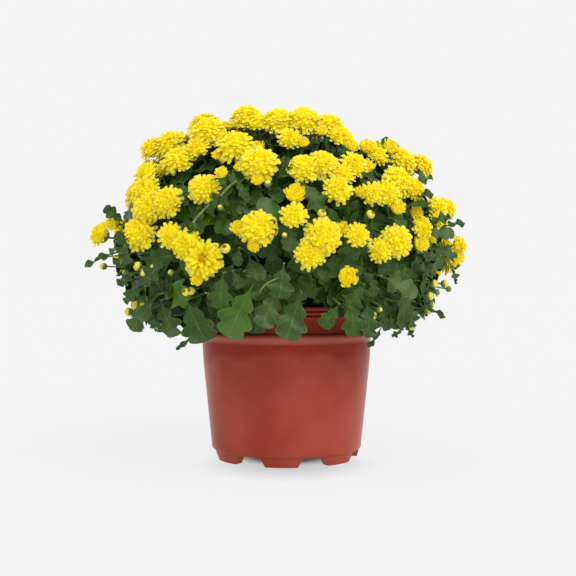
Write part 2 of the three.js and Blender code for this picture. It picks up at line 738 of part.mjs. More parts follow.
const BUD_REACH = 60; // buds this near a shoot's end grow from it
const BUD_ROOT = 0.9; // where on the shoot, as a share of its length
const BUD_END = 0.6; // radius of a bud's end, as a share of its widest
const LEAF_SHRINK = 0.012; // with each try
const PLACED_LEAF_OVERLAP = 0.04; // of the blade's length that its stalk runs on
const PLACED_LEAF_TURN = 0.03; // outward, with each try
const PLACED_LEAF_RISE = 0.6; // how much its face turns up
const PLACED_LEAF_BEND = { droop: 0.1, lift: 0.8 };

function outOnDome(share, turn, height) {
  return vec(Math.cos(turn) * Math.cos(height), Math.sin(turn) * Math.cos(height), Math.sin(height))
    .multiply(DOME_RADII).multiplyScalar(share).add(DOME_CENTRE);
}

function thicket() {
  const draw = makeDraw(SEED);
  const rings = THICKET_RINGS.map(([height, size], ring) => (
    Array.from({ length: THICKET_AROUND }, (_, i) => {
      const tip = (i + ring) % 2 === 0 ? THICKET_TIPS : -THICKET_TIPS;
      const share = size + tip + draw(-THICKET_ROUGH, THICKET_ROUGH);
      return outOnDome(share, (i / THICKET_AROUND) * 2 * Math.PI, radians(height));
    })
  ));
  return pointedSkin(vec(0, 0, THICKET_BOTTOM), rings, outOnDome(THICKET_TOP, 0, Math.PI / 2));
}

// Everything that belongs to one cutting's share of the plant.
function wedge(cutting) {
  const middle = cuttingAngle(cutting);
  const half = Math.PI / CUTTING_COUNT;
  const ring = (z) => {
    const corner = polar(WEDGE_CORNER, middle, z);
    return [
      corner,
      corner.clone().add(polar(WEDGE_REACH, middle - half, 0)),
      corner.clone().add(polar(WEDGE_REACH, middle + half, 0)),
    ];
  };
  return flatEndedSkin([ring(0), ring(WEDGE_REACH)]);
}

function stem(cutting) {
  const root = stemRoot(cutting);
  return limb([root, root.clone().setZ(STEM_TOP)], [STEM_RADIUS, STEM_RADIUS * STEM_TAPER], STEM_SIDES);
}

// A point inside the thicket, on the way from the middle of the plant to a place near the dome.
function startInThicket(place, cutting) {
  const middle = vec(0, 0, DOME_CENTRE.z);
  const start = middle.lerp(place, STALK_START);
  start.z = Math.max(start.z, THICKET_START);
  return bentClear(start, cutting, STALK_CLEAR);
}

function growShoots(cutting, draw) {
  return SHOOTS.map(([degrees, ring, z, leaves]) => {
    const turn = cuttingAngle(cutting) + radians(degrees);
    const jitter = () => draw(-SHOOT_JITTER, SHOOT_JITTER);
    const end = polar(ring + jitter(), turn, z + jitter());
    const start = startInThicket(end.clone().setZ(z + SHOOT_RISE), cutting);
    const solid = limb([start, end], [SHOOT_RADIUS, SHOOT_RADIUS * SHOOT_TAPER], SHOOT_SIDES);
    return { solid, start, end, leaves };
  });
}

// A stalk that thickens towards the bloom that it carries. It starts where its way is clear of the
// other blooms.
function bloomStalk(bloom, cutting, blooms) {
  const { place, facing, radius } = bloom;
  const below = -(UNDERSIDE + CALYX_GAP) * radius - GAP;
  const top = bentClear(place.clone().addScaledVector(facing, below), cutting, STALK_CLEAR);
  const others = blooms.filter((other) => other !== bloom);
  const crossings = (start) => STALK_SAMPLES.filter((share) => (
    hitsBloom(start.clone().lerp(top, share), others, STALK_RADIUS)
  )).length;
  const start = STALK_LIFTS
    .map((lift) => startInThicket(place.clone().addScaledVector(UP, lift), cutting))
    .reduce((best, next) => (crossings(next) < crossings(best) ? next : best));
  return limb([start, top], [STALK_RADIUS, CALYX * radius], STALK_SIDES);
}

function budSolid({ place, radius }, cutting, shoots) {
  const middle = bentClear(place, cutting, STALK_CLEAR + radius);
  const near = shoots.filter(({ end }) => end.distanceTo(middle) < BUD_REACH);
  const start = near.length > 0
    ? near[0].start.clone().lerp(near[0].end, BUD_ROOT)
    : startInThicket(place, cutting);
  const along = middle.clone().sub(start).normalize();
  const above = middle.clone().addScaledVector(along, radius);
  return limb([start, middle, above], [STALK_RADIUS * BUD_END, radius, radius * BUD_END], STALK_SIDES);
}

// Adds a leaf where it touches the cutting at its root only. It is tried a few times, turned and
// shortened a little each time, and left out if it never fits.
function withLeaf(grown, makeLeaf, cutting, blooms) {
  for (let attempt = 0; attempt < LEAF_TRIES; attempt++) {
    const leaf = makeLeaf(attempt);
    if (leafIsClear(leaf, cutting, blooms)) {
      const solid = leafSolid(leaf);
      const shared = grown.intersect(solid);
      const { min, max } = shared.boundingBox();
      const near = [...min, ...max].every((value, i) => (
        Math.abs(value - leaf.root.getComponent(i % 3)) < LEAF_ROOT_REACH
      ));
      if (!shared.isEmpty() && near) return grown.add(solid);
    }
  }
  return grown;
}

// The leaf makers take the attempt's number and draw the leaf's turn, size and bend afresh.
function shootLeaves({ start, end, leaves }, draw) {
  const low = end.z < LOW_SHOOT;
  return SHOOT_LEAVES.slice(0, leaves).map((share) => (attempt) => {
    const root = start.clone().lerp(end, share);
    const outward = Math.atan2(root.y, root.x);
    const sway = draw(-0.5, 1 - share) * LEAF_SWAY * (draw() < 0.5 ? -1 : 1);
    const aim = polar(1, outward + sway, low ? draw(-0.8, -0.2) : draw(-0.3, 0.3));
    const facing = polar(low ? 0.9 : 0.4, outward, draw(0.8, 1.2));
    const length = draw(...LEAF_LENGTH) * (1 - LEAF_SHRINK * attempt);
    const bend = { droop: draw(...LEAF_DROOP), lift: draw(0, 1.4) };
    const blade = share === SHOOT_LEAVES[0] ? LOBED_BLADE : SMALL_BLADE;
    return { root, aim, facing, length, ...bend, blade };
  });
}

// A leaf at a known place, on its own leaf stalk. Each attempt brings it nearer to pointing outward.
function placedLeaf(root, tip, cutting) {
  const start = startInThicket(root, cutting);
  const aim = tip.clone().sub(root);
  const outward = outwardOnDome(root);
  const stalk = limb(
    [start, root.clone().lerp(tip, PLACED_LEAF_OVERLAP)],
    [SHOOT_RADIUS * SHOOT_TAPER, STALK_RADIUS],
    STALK_SIDES,
  );
  const makeLeaf = (attempt) => ({
    root,
    aim: aim.clone().normalize().addScaledVector(outward, attempt * PLACED_LEAF_TURN),
    facing: outward.clone().addScaledVector(UP, PLACED_LEAF_RISE),
    length: aim.length() * (1 - LEAF_SHRINK * attempt),
    ...PLACED_LEAF_BEND,
    blade: LOBED_BLADE,
  });
  return { stalk, makeLeaf };
}

// A leaf that stands out of the thicket, among the stalks.
function thicketLeaf(cutting, draw) {
  return (attempt) => {
    const turn = cuttingAngle(cutting) + draw(-0.5, 0.5);
    const root = outOnDome(THICKET_LEAF_ROOT, turn, draw(-0.05, 1.25));
    const outward = outwardOnDome(root);
    const side = vec(draw(-1, 1), draw(-1, 1), draw(-1, 1));
    side.addScaledVector(outward, -side.dot(outward)).normalize();
    const aim = side.multiplyScalar(draw(0.3, 1)).add(outward);
    const length = draw(...THICKET_LEAF_LENGTH) * (1 - LEAF_SHRINK * attempt);
    const bend = { droop: draw(...LEAF_DROOP), lift: draw(0, 1.2) };
    return { root, aim, facing: outward.addScaledVector(side, -1), length, ...bend, blade: SMALL_BLADE };
  };
}

function placedLeaves(cutting) {
  const front = FRONT_LEAVES.map(([across, up, tipAcross, tipUp]) => (
    [sighted(across, up).place, sighted(tipAcross, tipUp).place]
  ));
  const outermost = OUTERMOST_LEAVES.map((ends) => ends.map((end) => vec(...end)));
  return [...front, ...outermost]
    .filter(([root]) => cuttingOf(root) === cutting)
    .map(([root, tip]) => placedLeaf(root, tip, cutting));
}

function growCutting(cutting, blooms, buds) {
  const draw = makeDraw(SEED + 1 + cutting);
  const shoots = growShoots(cutting, draw);
  const stalks = blooms.filter(({ place }) => cuttingOf(place) === cutting)
    .map((bloom) => bloomStalk(bloom, cutting, blooms));
  const ownBuds = buds.filter(({ place }) => cuttingOf(place) === cutting);
  const placed = placedLeaves(cutting);
  const leafMakers = [
    ...placed.map(({ makeLeaf }) => makeLeaf),
    ...shoots.flatMap((shoot) => shootLeaves(shoot, draw)),
    ...Array.from({ length: THICKET_LEAVES }, () => thicketLeaf(cutting, draw)),
  ];
  const withoutLeaves = joined([
    thicket().intersect(wedge(cutting)),
    stem(cutting),
    ...shoots.map(({ solid }) => solid),
    ...stalks,
    ...placed.map(({ stalk }) => stalk),
    ...ownBuds.map((bud) => budSolid(bud, cutting, shoots)),
  ]);
  return leafMakers.reduce(
    (grown, makeLeaf) => withLeaf(grown, makeLeaf, cutting, blooms), withoutLeaves,
  );
}

// ---------------------------------------------------------------- the whole plant

const MATERIALS = {
  pot: new THREE.MeshStandardMaterial({ color: 0x9c4436, roughness: 0.38, metalness: 0 }),
  soil: new THREE.MeshStandardMaterial({ color: 0x2c2119, roughness: 0.95, metalness: 0 }),
  green: new THREE.MeshStandardMaterial({ color: 0x3c6234, roughness: 0.6, metalness: 0 }),
  yellow: new THREE.MeshStandardMaterial({ color: 0xf6dc1e, roughness: 0.65, metalness: 0 }),
};

function sprayNodes(blooms, spray) {
  return [...new Set(spray)].map((label, number) => {
    const together = blooms.filter((_, i) => spray[i] === label);
    const name = `blooms_${String(number + 1).padStart(2, '0')}`;
    return meshOf(name, joined(together.map(bloomSolid)), MATERIALS.yellow);
  });
}

function buildPlant() {
  const draw = makeDraw(SEED);
  const blooms = fillBlooms(frontBlooms(draw), draw);
  const { spray, links } = gatherSprays(blooms);
  settle(blooms, spray, links);
  joinPetals(blooms, links);
  const buds = FRONT_BUDS.map(([across, up, width]) => {
    const { place, share } = sighted(across, up);
    return { place, radius: (width * share) / 2 };
  }).filter(({ place, radius }) => !hitsBloom(place, blooms, radius + 1));
  const plant = new THREE.Group();
  plant.add(meshOf('pot', pot(), MATERIALS.pot));
  plant.add(meshOf('soil', soil(), MATERIALS.soil));
  for (let cutting = 0; cutting < CUTTING_COUNT; cutting++) {
    plant.add(meshOf(`cutting_${cutting + 1}`, growCutting(cutting, blooms, buds), MATERIALS.green));
  }
  plant.add(...sprayNodes(blooms, spray));
  return plant;
}

export default buildPlant();
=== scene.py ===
"""Dresses a pot chrysanthemum: its pot, potting mix, five leafy cuttings and dome of double yellow blooms.

Sizes are in millimetres and become metres where a mesh is made. +Z is up and the front faces -Y.
"""

import itertools
import math
import random

import bmesh
import bpy
import numpy as np
from mathutils import Matrix, Vector, noise


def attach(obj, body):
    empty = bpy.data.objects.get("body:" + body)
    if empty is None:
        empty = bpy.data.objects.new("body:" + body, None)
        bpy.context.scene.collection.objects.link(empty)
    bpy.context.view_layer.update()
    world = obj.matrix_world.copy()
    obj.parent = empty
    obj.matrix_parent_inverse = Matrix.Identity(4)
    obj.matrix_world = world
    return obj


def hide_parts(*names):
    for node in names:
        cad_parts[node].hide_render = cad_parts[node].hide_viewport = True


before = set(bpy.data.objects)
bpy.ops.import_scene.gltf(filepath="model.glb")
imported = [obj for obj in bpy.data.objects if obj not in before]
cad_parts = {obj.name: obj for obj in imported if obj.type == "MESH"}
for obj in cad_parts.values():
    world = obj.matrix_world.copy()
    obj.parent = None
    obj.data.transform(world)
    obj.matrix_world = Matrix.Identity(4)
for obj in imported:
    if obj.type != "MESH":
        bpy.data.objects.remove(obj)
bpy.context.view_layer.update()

MM = 0.001
SEED = 8238
TURN = 2 * math.pi
GOLDEN_ANGLE = math.pi * (3 - math.sqrt(5))

# ---- camera

PICTURE_SIDE = 576
POT_AXIS_COLUMN = 286.5
SENSOR = 36.0
LENS = 61.3
EYE = np.array([0.0, -950.0, 162.0])

# ---- light

SKY = 0.905
FLOOR_PALE = 0.06
FLOOR_GLOW = 0.83
# The floor's own glow fades under the pot and around it, a painted contact shadow: middle, nearest and
# furthest, and the least left.
PAINTED_FLOOR_SHADOWS = [((0.0, 0.0, 0.0), 30.0, 60.0, 0.12), ((0.0, -45.0, 0.0), 20.0, 95.0, 0.68)]

# ---- sizes of the pot and its mix

FOOT_COUNT = 7
FOOT_HEIGHT = 8.2
FLOOR_RISE = 0.5
FOOT_INNER = 59.0
FOOT_OUTER_TOP = 70.6
FOOT_OUTER_BOTTOM = 67.0
FOOT_TOP_DEG = 32.0
FOOT_BOTTOM_DEG = 24.0
FOOT_TURN_DEG = -94.5
BODY_BOTTOM_RADIUS = 71.6
BASE_ROUND = 3.0
SHOULDER_RADIUS = 82.5
SHOULDER_HEIGHT = 114.0
COLLAR_RADIUS = 75.8
COLLAR_STEP = 3.0
BEAD_RISE = 3.0
BEAD_DEPTH = 2.6
BEAD_HALF_HEIGHT = 3.0
PIP_RADIUS = 1.3
PIP_TURN_DEG = -54.0
PIP_HEIGHT = 27.0
RIM_RADIUS = 78.2
RIM_HEIGHT = 145.0
RIDGE_HEIGHT = 4.0
RIDGE_COUNT = 3
WALL = 1.6
FLOOR = 2.0
DRAIN_RADIUS = 4.0
DRAIN_RING = 42.0
DRAIN_COUNT = 5
POT_SEGMENTS = 144
SOIL_SEGMENTS = 96
SOIL_RINGS = 16
SOIL_TOP = 131.0
SOIL_CROWN = 3.0

# ---- the plant's layout

DOME_CENTRE = np.array([-6.0, 0.0, 189.0])
DOME_RADII = np.array([164.0, 152.0, 138.0])
CUTTING_COUNT = 5
CUTTING_TURN_DEG = -90.0
ROOT_RING = 38.0
ROOT_DEPTH = 34.0
STEM_RADIUS = 3.4
STALK_RADIUS = 1.2
THICKET_BOTTOM = 153.0

# Front blooms, as seen from the eye point: across and up on the upright plane through the pot's
# axis, and the whole width there.
FRONT_BLOOMS = [
    # along the top of the dome
    (-82, 325, 30), (-75, 312, 34), (-86, 300, 26), (-38, 324, 32), (-27, 321, 24),
    (-7, 322, 34), (3, 309, 24), (15, 321, 34), (17, 306, 13), (37, 318, 30), (53, 306, 26), (63, 298, 16),
    (-109, 299, 32), (-135, 300, 27), (-131, 275, 26),
    # upper front
    (-110, 286, 31), (-47, 301, 36), (-49, 281, 12), (-71, 291, 12), (-24, 281, 36), (-28, 271, 13),
    (17, 280, 30), (34, 284, 30), (34, 311, 13), (53, 271, 26), (50, 257, 29), (9, 255, 22), (65, 285, 28),
    (82, 280, 15), (87, 291, 22), (78, 296, 18), (97, 294, 18), (111, 283, 28), (127, 277, 28),
    (105, 267, 30), (122, 254, 24), (101, 253, 28), (109, 238, 17), (82, 254, 24),
    (69, 257, 12),
    # left
    (-137, 256, 31), (-147, 252, 15), (-137, 236, 33), (-112, 250, 31), (-82, 261, 30), (-61, 270, 14),
    (-146, 209, 34), (-116, 214, 26), (-95, 205, 30), (-78, 188, 36), (-84, 171, 15), (-27, 221, 35),
    (-49, 221, 16), (-32, 201, 12), (-176, 213, 26), (-163, 224, 18),
    # right
    (7, 231, 26), (35, 213, 34), (66, 212, 24), (22, 193, 29), (58, 174, 21), (111, 209, 31),
    (91, 198, 25), (144, 242, 26), (153, 238, 24), (128, 234, 17), (132, 222, 26), (146, 224, 22),
    (132, 205, 19), (166, 206, 20), (164, 188, 17),
]
OPEN_CENTRED = (-78, 188, 36)  # the front bloom that shows its golden middle

# Front buds, given in the same way.
FRONT_BUDS = [
    (-59, 200, 10), (73, 271, 9), (95, 277, 9), (81, 233, 9), (122, 248, 9), (34, 234, 9), (81, 203, 8),
    (-64, 240, 6), (-160, 210, 6), (-144, 183, 9), (-67, 290, 8), (-18, 263, 7), (-147, 238, 10),
    (-138, 177, 8), (-112, 177, 6), (-129, 182, 6), (-177, 192, 7), (-177, 183, 7), (-159, 168, 8),
    (-146, 145, 9), (-139, 144, 8), (-153, 139, 8), (-149, 129, 8), (-97, 158, 8), (-92, 159, 8),
    (143, 166, 8), (153, 166, 8), (146, 158, 6), (157, 161, 6), (139, 154, 8), (140, 146, 7),
    (137, 140, 8), (120, 125, 9), (90, 141, 6), (84, 135, 8), (111, 148, 6), (-2, 213, 6), (79, 131, 5),
    (-156, 177, 6),
]

# Pale stalks that lie over the front leaves: places along them, and how thick.
FRONT_STALKS = [
    ([(-92, 221), (-85, 230), (-74, 242)], 1.2),
    ([(-63, 250), (-55, 259), (-48, 264)], 1.0),
    ([(-26, 158), (-20, 166), (-8, 172)], 0.8),
    ([(-78, 158), (-64, 154), (-58, 149)], 0.8),
]

# Front leaves: across and up of the foot of the blade and of its tip, as seen from the eye point, and how
# broad it is against its kind. The first is painted pale where it catches the light: painted light.
FRONT_LEAVES = [
    (-35, 160, -59, 115, 1.0), (13, 152, 0, 112, 1.1), (50, 144, 35, 124, 1.0),
    (-87, 117, -107, 103, 0.3), (93, 126, 81, 104, 0.4), (-128, 152, -152, 122, 0.9),
    (128, 147, 155, 135, 0.3), (-10, 158, -24, 124, 1.0), (62, 147, 68, 116, 1.1),
    (78, 146, 82, 114, 1.0), (-95, 146, -82, 109, 1.4), (-62, 173, -66, 142, 1.1),
    (112, 160, 118, 124, 0.9), (18, 262, 36, 236, 1.0), (-52, 262, -72, 240, 1.0),
    (-3, 182, -7, 152, 1.2), (96, 172, 128, 158, 0.8), (-118, 190, -140, 168, 0.9),
    (-141, 139, -142, 120, 1.0), (-132, 140, -130, 123, 1.1), (-121, 146, -111, 114, 1.2),
    (112, 121, 102, 115, 0.8), (115, 126, 123, 115, 0.8), (74, 163, 59, 143, 0.9),
    (83, 172, 86, 154, 0.9), (158, 187, 165, 166, 0.9), (-46, 199, -48, 184, 1.0),
    (-39, 178, -20, 175, 1.0), (-51, 177, -44, 162, 1.0), (-148, 196, -168, 186, 0.9),
    (-146, 178, -164, 166, 0.9), (-140, 162, -158, 150, 0.9), (116, 264, 141, 270, 0.9),
    (118, 252, 142, 255, 0.9), (-158, 226, -176, 240, 0.8), (150, 222, 172, 227, 0.8),
    (92, 142, 98, 121, 1.0), (104, 146, 108, 122, 1.1), (119, 148, 123, 124, 1.0),
    (140, 200, 166, 196, 0.8), (6, 222, 2, 198, 1.0), (-30, 232, -12, 214, 1.0),
    (-79, 234, -97, 216, 0.4), (118, 242, 137, 246, 0.9), (136, 214, 162, 218, 1.0),
    (138, 226, 158, 232, 0.9), (-148, 206, -172, 199, 0.9), (-148, 214, -168, 209, 0.9),
    (-146, 202, -166, 214, 0.8), (-66, 250, -76, 236, 0.8), (-48, 264, -38, 250, 0.9),
]
# Leaves that reach furthest or fill a gap: foot and tip of the blade, and how broad it is.
OUTERMOST_LEAVES = [
    ((-150, -46, 196), (-187, -52, 189), 0.5), ((146, 80, 196), (183, 96, 190), 1.0),
    ((142, 66, 192), (168, 74, 202), 1.0), ((140, 90, 190), (164, 112, 182), 1.0),
    ((144, 78, 204), (166, 88, 214), 0.9), ((22, 142, 160), (34, 178, 147), 1.0),
    ((104, 26, 262), (136, 20, 273), 1.0), ((108, 30, 250), (142, 22, 252), 1.0),
    ((-34, -86, 168), (-27, -92, 139), 1.0), ((-85, -34, 168), (-87, -38, 136), 1.0),
]

# The plant's outline from the front: height and how far the foliage reaches out from the axis there.
OUTLINE = [
    (98, 70), (106, 84), (114, 112), (123, 135), (131, 144), (139, 154), (162, 160), (178, 165), (190, 177),
    (205, 175), (224, 169), (247, 154), (263, 147), (286, 136), (302, 122), (309, 96), (325, 72), (333, 55),
    (340, 20),
]
# What leaves keep clear of: the pot's rim and a dark hollow where the core's painted shade shows; across
# from and to, up from and to.
OPEN_WINDOWS = [(8, 36, 112, 150), (-23, -8, 188, 206)]
# Hollows in the crown that the half-hidden blooms keep clear of.
CROWN_HOLLOWS = [
    (-50, -34, 311, 318), (-22, -11, 295, 310), (-2, 10, 280, 302), (24, 52, 290, 321),
    (-105, -92, 294, 306), (-98, -70, 268, 292), (-66, -50, 266, 280), (85, 120, 276, 286),
]
HOLLOW_FRONT = -20.0
HOLLOW_SHARE = 0.8

# How the blooms spread and crowd; the same rule as that of the solids.
GAP = 0.35
FILL_STEPS = 122
FILL_LOWEST = -0.1
FILL_BEHIND = 10.0
FILL_RADIUS = (14.5, 17.0)
FILL_JITTER = 4.0
FILL_CROWDED = 0.92
NOTCH = (67.0, 306.0, 10.0)
NOTCH_SKY = (64.0, 86.0, 309.0, 345.0)  # no leaf shows above the dip in the outline
BLOOM_NODES = 52
SPRAY_REACH = 1.35
SPRAY_MOST = 7
BLOOM_FLATNESS = 0.56
BLOOM_SINK = 5.0
BLOOM_RISE = 0.12
BLOOM_TILT = 0.2
FRONT_TURN = 0.45
STALK_ROOM = 0.22
LEVEL = 0.07
ALIKE = 0.6
CLEAR = 1.03
HOLD = 0.76
SETTLE_ROUNDS = 80
WATCHED = 3

# Half-hidden blooms that close the crown; those in front are given like the front blooms.
TUCK_STEPS = 320
TUCK_LOWEST = 0.6
TUCK_SHARE = 0.95
TUCK_RADIUS = (11.0, 15.0)
TUCK_ROOM = 0.66
TUCK_DEPTH = 8.0
TUCKED_FRONT = [(-30, 309, 19), (-60, 325, 20), (147, 213, 17), (58, 222, 16), (-138, 284, 24)]


# ---- small helpers


def unit(vector):
    return vector / np.linalg.norm(vector)


def polar(radius, angle, z):
    return np.array([radius * math.cos(angle), radius * math.sin(angle), z])


def wrapped(angle):
    """The same angle, within half a turn either way."""
    return math.atan2(math.sin(angle), math.cos(angle))


def beside(facing):
    """A direction at right angles to the given one."""
    return unit(np.cross(facing, [0.3, 0.5, 0.8]))


def make_draw(seed):
    """Park and Miller's generator: even draws from 0 to 1, or between two numbers."""
    state = seed

    def draw(low=0.0, high=1.0):
        nonlocal state
        state = state * 16807 % 2147483647
        return low + (high - low) * (state / 2147483647)

    return draw


def spiral(steps, lowest):
    """Directions spread evenly over a ball, from its top down to a height."""
    for i in range(steps):
        lift = 1 - (i + 0.5) / steps * (1 - lowest)
        spread = math.sqrt(1 - lift * lift)
        yield np.array([spread * math.cos(i * GOLDEN_ANGLE), spread * math.sin(i * GOLDEN_ANGLE), lift])


# ---- where the blooms are


def outward_on_dome(point):
    return unit((point - DOME_CENTRE) / DOME_RADII / DOME_RADII)


def on_dome(direction, share=1.0):
    """A point a share of the way out to the dome."""
    return direction * DOME_RADII * share + DOME_CENTRE


def sighted(across, up):
    """Where the sight line through a place on the middle plane meets the dome, and how far along it is."""
    line = np.array([across, 0.0, up]) - EYE
    start = (EYE - DOME_CENTRE) / DOME_RADII
    step = line / DOME_RADII
    a = step @ step
    b = start @ step
    c = start @ start - 1
    share = (-b - math.sqrt(max(b * b - a * c, 0))) / a
    return EYE + line * share, share


def sighted_rounds(rows):
    """Place and radius on the dome of each thing given by place and width as seen from the eye point."""
    rounds = []
    for across, up, width in rows:
        place, share = sighted(across, up)
        rounds.append((place, width * share / 2))
    return rounds


def seen_at(point):
    """Where a point shows on the upright plane through the pot's axis, and how far it is from the eye."""
    depth = point[1] - EYE[1]
    flat = (point - EYE) * (-EYE[1] / depth) + EYE
    return flat[0], flat[2], depth


def off_window(window, x, z):
    low_x, high_x, low_z, high_z = window
    return math.hypot(max(low_x - x, 0, x - high_x), max(low_z - z, 0, z - high_z))


class Bloom:
    """A flower head: its place, size and facing, and the body it belongs to."""

    def __init__(self, place, radius, turn, draw):
        self.radius = radius
        self.place = place + outward_on_dome(place) * draw(-BLOOM_SINK, BLOOM_SINK)
        tilt = np.array([draw(-BLOOM_TILT, BLOOM_TILT) for _ in range(3)])
        self.facing = unit(outward_on_dome(self.place) + tilt + np.array([0, -turn, BLOOM_RISE]))
        draw()  # the solids' own roll

    def reach_towards(self, direction):
        along = self.facing @ direction
        return self.radius / math.sqrt(1 - along * along + (along / BLOOM_FLATNESS) ** 2)

    def nearness(self, place, radius):
        """How far it is from a round thing, against the room that the two take side by side."""
        return np.linalg.norm(self.place - place) / (self.radius + radius)


def hides_notch(place, radius):
    x, z, _ = seen_at(place)
    return math.hypot(x - NOTCH[0], z - NOTCH[1]) < NOTCH[2] + radius


def hides_hollow(place, radius):
    x, z, _ = seen_at(place)
    clear = radius * HOLLOW_SHARE
    return place[1] < HOLLOW_FRONT and any(off_window(hollow, x, z) < clear for hollow in CROWN_HOLLOWS)


def jittered(place, draw):
    return place + [draw(-FILL_JITTER, FILL_JITTER) for _ in range(3)]


def fill_blooms(blooms, draw):
    """Adds blooms round the back, wherever the dome has room for one."""
    for direction in spiral(FILL_STEPS, FILL_LOWEST):
        place = jittered(on_dome(direction), draw)
        radius = draw(*FILL_RADIUS)
        crowded = any(other.nearness(place, radius) < FILL_CROWDED for other in blooms)
        if place[1] > FILL_BEHIND and not crowded and not hides_notch(place, radius):
            blooms.append(Bloom(place, radius, 0, draw))
    return blooms


def near_pairs(blooms, limit):
    """Nearness and numbers of each two blooms that are nearer than a limit."""
    pairs = []
    for i, j in itertools.combinations(range(len(blooms)), 2):
        nearness = blooms[i].nearness(blooms[j].place, blooms[j].radius)
        if nearness < limit:
            pairs.append((nearness, i, j))
    return pairs


def turn_alike(one, other):
    shared = unit(one.facing + other.facing)
    for bloom in (one, other):
        bloom.facing = unit(bloom.facing + (shared - bloom.facing) * ALIKE)


def gather_sprays(blooms):
    """Labels the blooms that hold together, closest pairs first, until few enough bodies are left."""
    spray = list(range(len(blooms)))
    links = []
    bodies = len(blooms)
    for _, i, j in sorted(near_pairs(blooms, SPRAY_REACH)):
        size = sum(label in (spray[i], spray[j]) for label in spray)
        if bodies > BLOOM_NODES and spray[i] != spray[j] and size <= SPRAY_MOST:
            kept, dropped = spray[i], spray[j]
            spray = [kept if label == dropped else label for label in spray]
            links.append((blooms[i], blooms[j]))
            turn_alike(blooms[i], blooms[j])
            bodies -= 1
    return spray, links


def apart(one, other):
    return np.linalg.norm(other.place - one.place)


def reaches(one, other):
    """How far apart two blooms are when their petals just meet."""
    direction = unit(other.place - one.place)
    return one.reach_towards(direction) + other.reach_towards(direction)


def nearest_linked(one, other):
    """How near two blooms of one spray may come."""
    return max(one.radius, other.radius) + STALK_ROOM * min(one.radius, other.radius)


def shift(one, other, wanted):
    """Moves two blooms both by as much, to a distance from each other."""
    between = other.place - one.place
    distance = np.linalg.norm(between)
    push = between / distance * ((distance - wanted) / 2)
    one.place = one.place + push
    other.place = other.place - push


def level(one, other):
    """Brings two linked blooms to nearly the same height."""
    facing = unit(one.facing + other.facing)
    step = (other.place - one.place) @ facing
    most = LEVEL * (one.radius + other.radius)
    excess = step - min(max(step, -most), most)
    one.place = one.place + facing * excess / 2
    other.place = other.place - facing * excess / 2


def settle(blooms, spray, links):
    """Draws linked blooms together until they hold, and moves all others apart until they are clear."""
    neighbours = near_pairs(blooms, WATCHED)
    for _ in range(SETTLE_ROUNDS):
        for one, other in links:
            held = max(HOLD * reaches(one, other), nearest_linked(one, other))
            if apart(one, other) > held:
                shift(one, other, held)
            level(one, other)
        for _, i, j in neighbours:
            one, other = blooms[i], blooms[j]
            if apart(one, other) < CLEAR * (one.radius + other.radius) + GAP:
                together = spray[i] == spray[j]
                clear = nearest_linked(one, other) if together else CLEAR * reaches(one, other) + GAP
                if apart(one, other) < clear:
                    shift(one, other, clear)


def lay_out_blooms():
    """All blooms of the solids, each with the name of its body."""
    draw = make_draw(SEED)
    front = [Bloom(place, radius, FRONT_TURN, draw) for place, radius in sighted_rounds(FRONT_BLOOMS)]
    blooms = fill_blooms(front, draw)
    spray, links = gather_sprays(blooms)
    settle(blooms, spray, links)
    labels = list(dict.fromkeys(spray))
    for bloom, label in zip(blooms, spray):
        bloom.node = f"blooms_{labels.index(label) + 1:02d}"
    return blooms


def tuck_in_blooms(blooms):
    """Half-hidden blooms that close the crown between the others, each in its nearest neighbour's spray."""
    draw = make_draw(SEED + 3)
    tucked = []
    for place, radius in sighted_rounds(TUCKED_FRONT):
        bloom = Bloom(place - outward_on_dome(place) * TUCK_DEPTH, radius, 0, draw)
        bloom.node = min(blooms, key=lambda other: np.linalg.norm(other.place - place)).node
        tucked.append(bloom)
    for direction in spiral(TUCK_STEPS, TUCK_LOWEST):
        place = jittered(on_dome(direction, TUCK_SHARE), draw)
        radius = draw(*TUCK_RADIUS)
        nearest = min(blooms + tucked, key=lambda other: other.nearness(place, radius))
        open_enough = nearest.nearness(place, radius) > TUCK_ROOM
        if open_enough and not hides_notch(place, radius) and not hides_hollow(place, radius):
            bloom = Bloom(place, radius, 0, draw)
            bloom.node = nearest.node
            tucked.append(bloom)
    return tucked


def cutting_angle(cutting):
    return math.radians(CUTTING_TURN_DEG) + cutting / CUTTING_COUNT * TURN


def cutting_of(point):
    """The cutting whose fifth of the plant a point is in."""
    turn = math.atan2(point[1], point[0])
    return min(range(CUTTING_COUNT), key=lambda cutting: abs(wrapped(turn - cutting_angle(cutting))))


# ---- shader expressions


class Term:
    """A socket in an expression: arithmetic on it adds the nodes that work the value out."""

    def __init__(self, graph, socket):
        self.graph = graph
        self.socket = socket

    def __add__(self, other):
        return self.graph.maths("ADD", self, other)

    def __sub__(self, other):
        return self.graph.maths("SUBTRACT", self, other)

    def __rsub__(self, other):
        return self.graph.maths("SUBTRACT", other, self)

    def __mul__(self, other):
        return self.graph.maths("MULTIPLY", self, other)


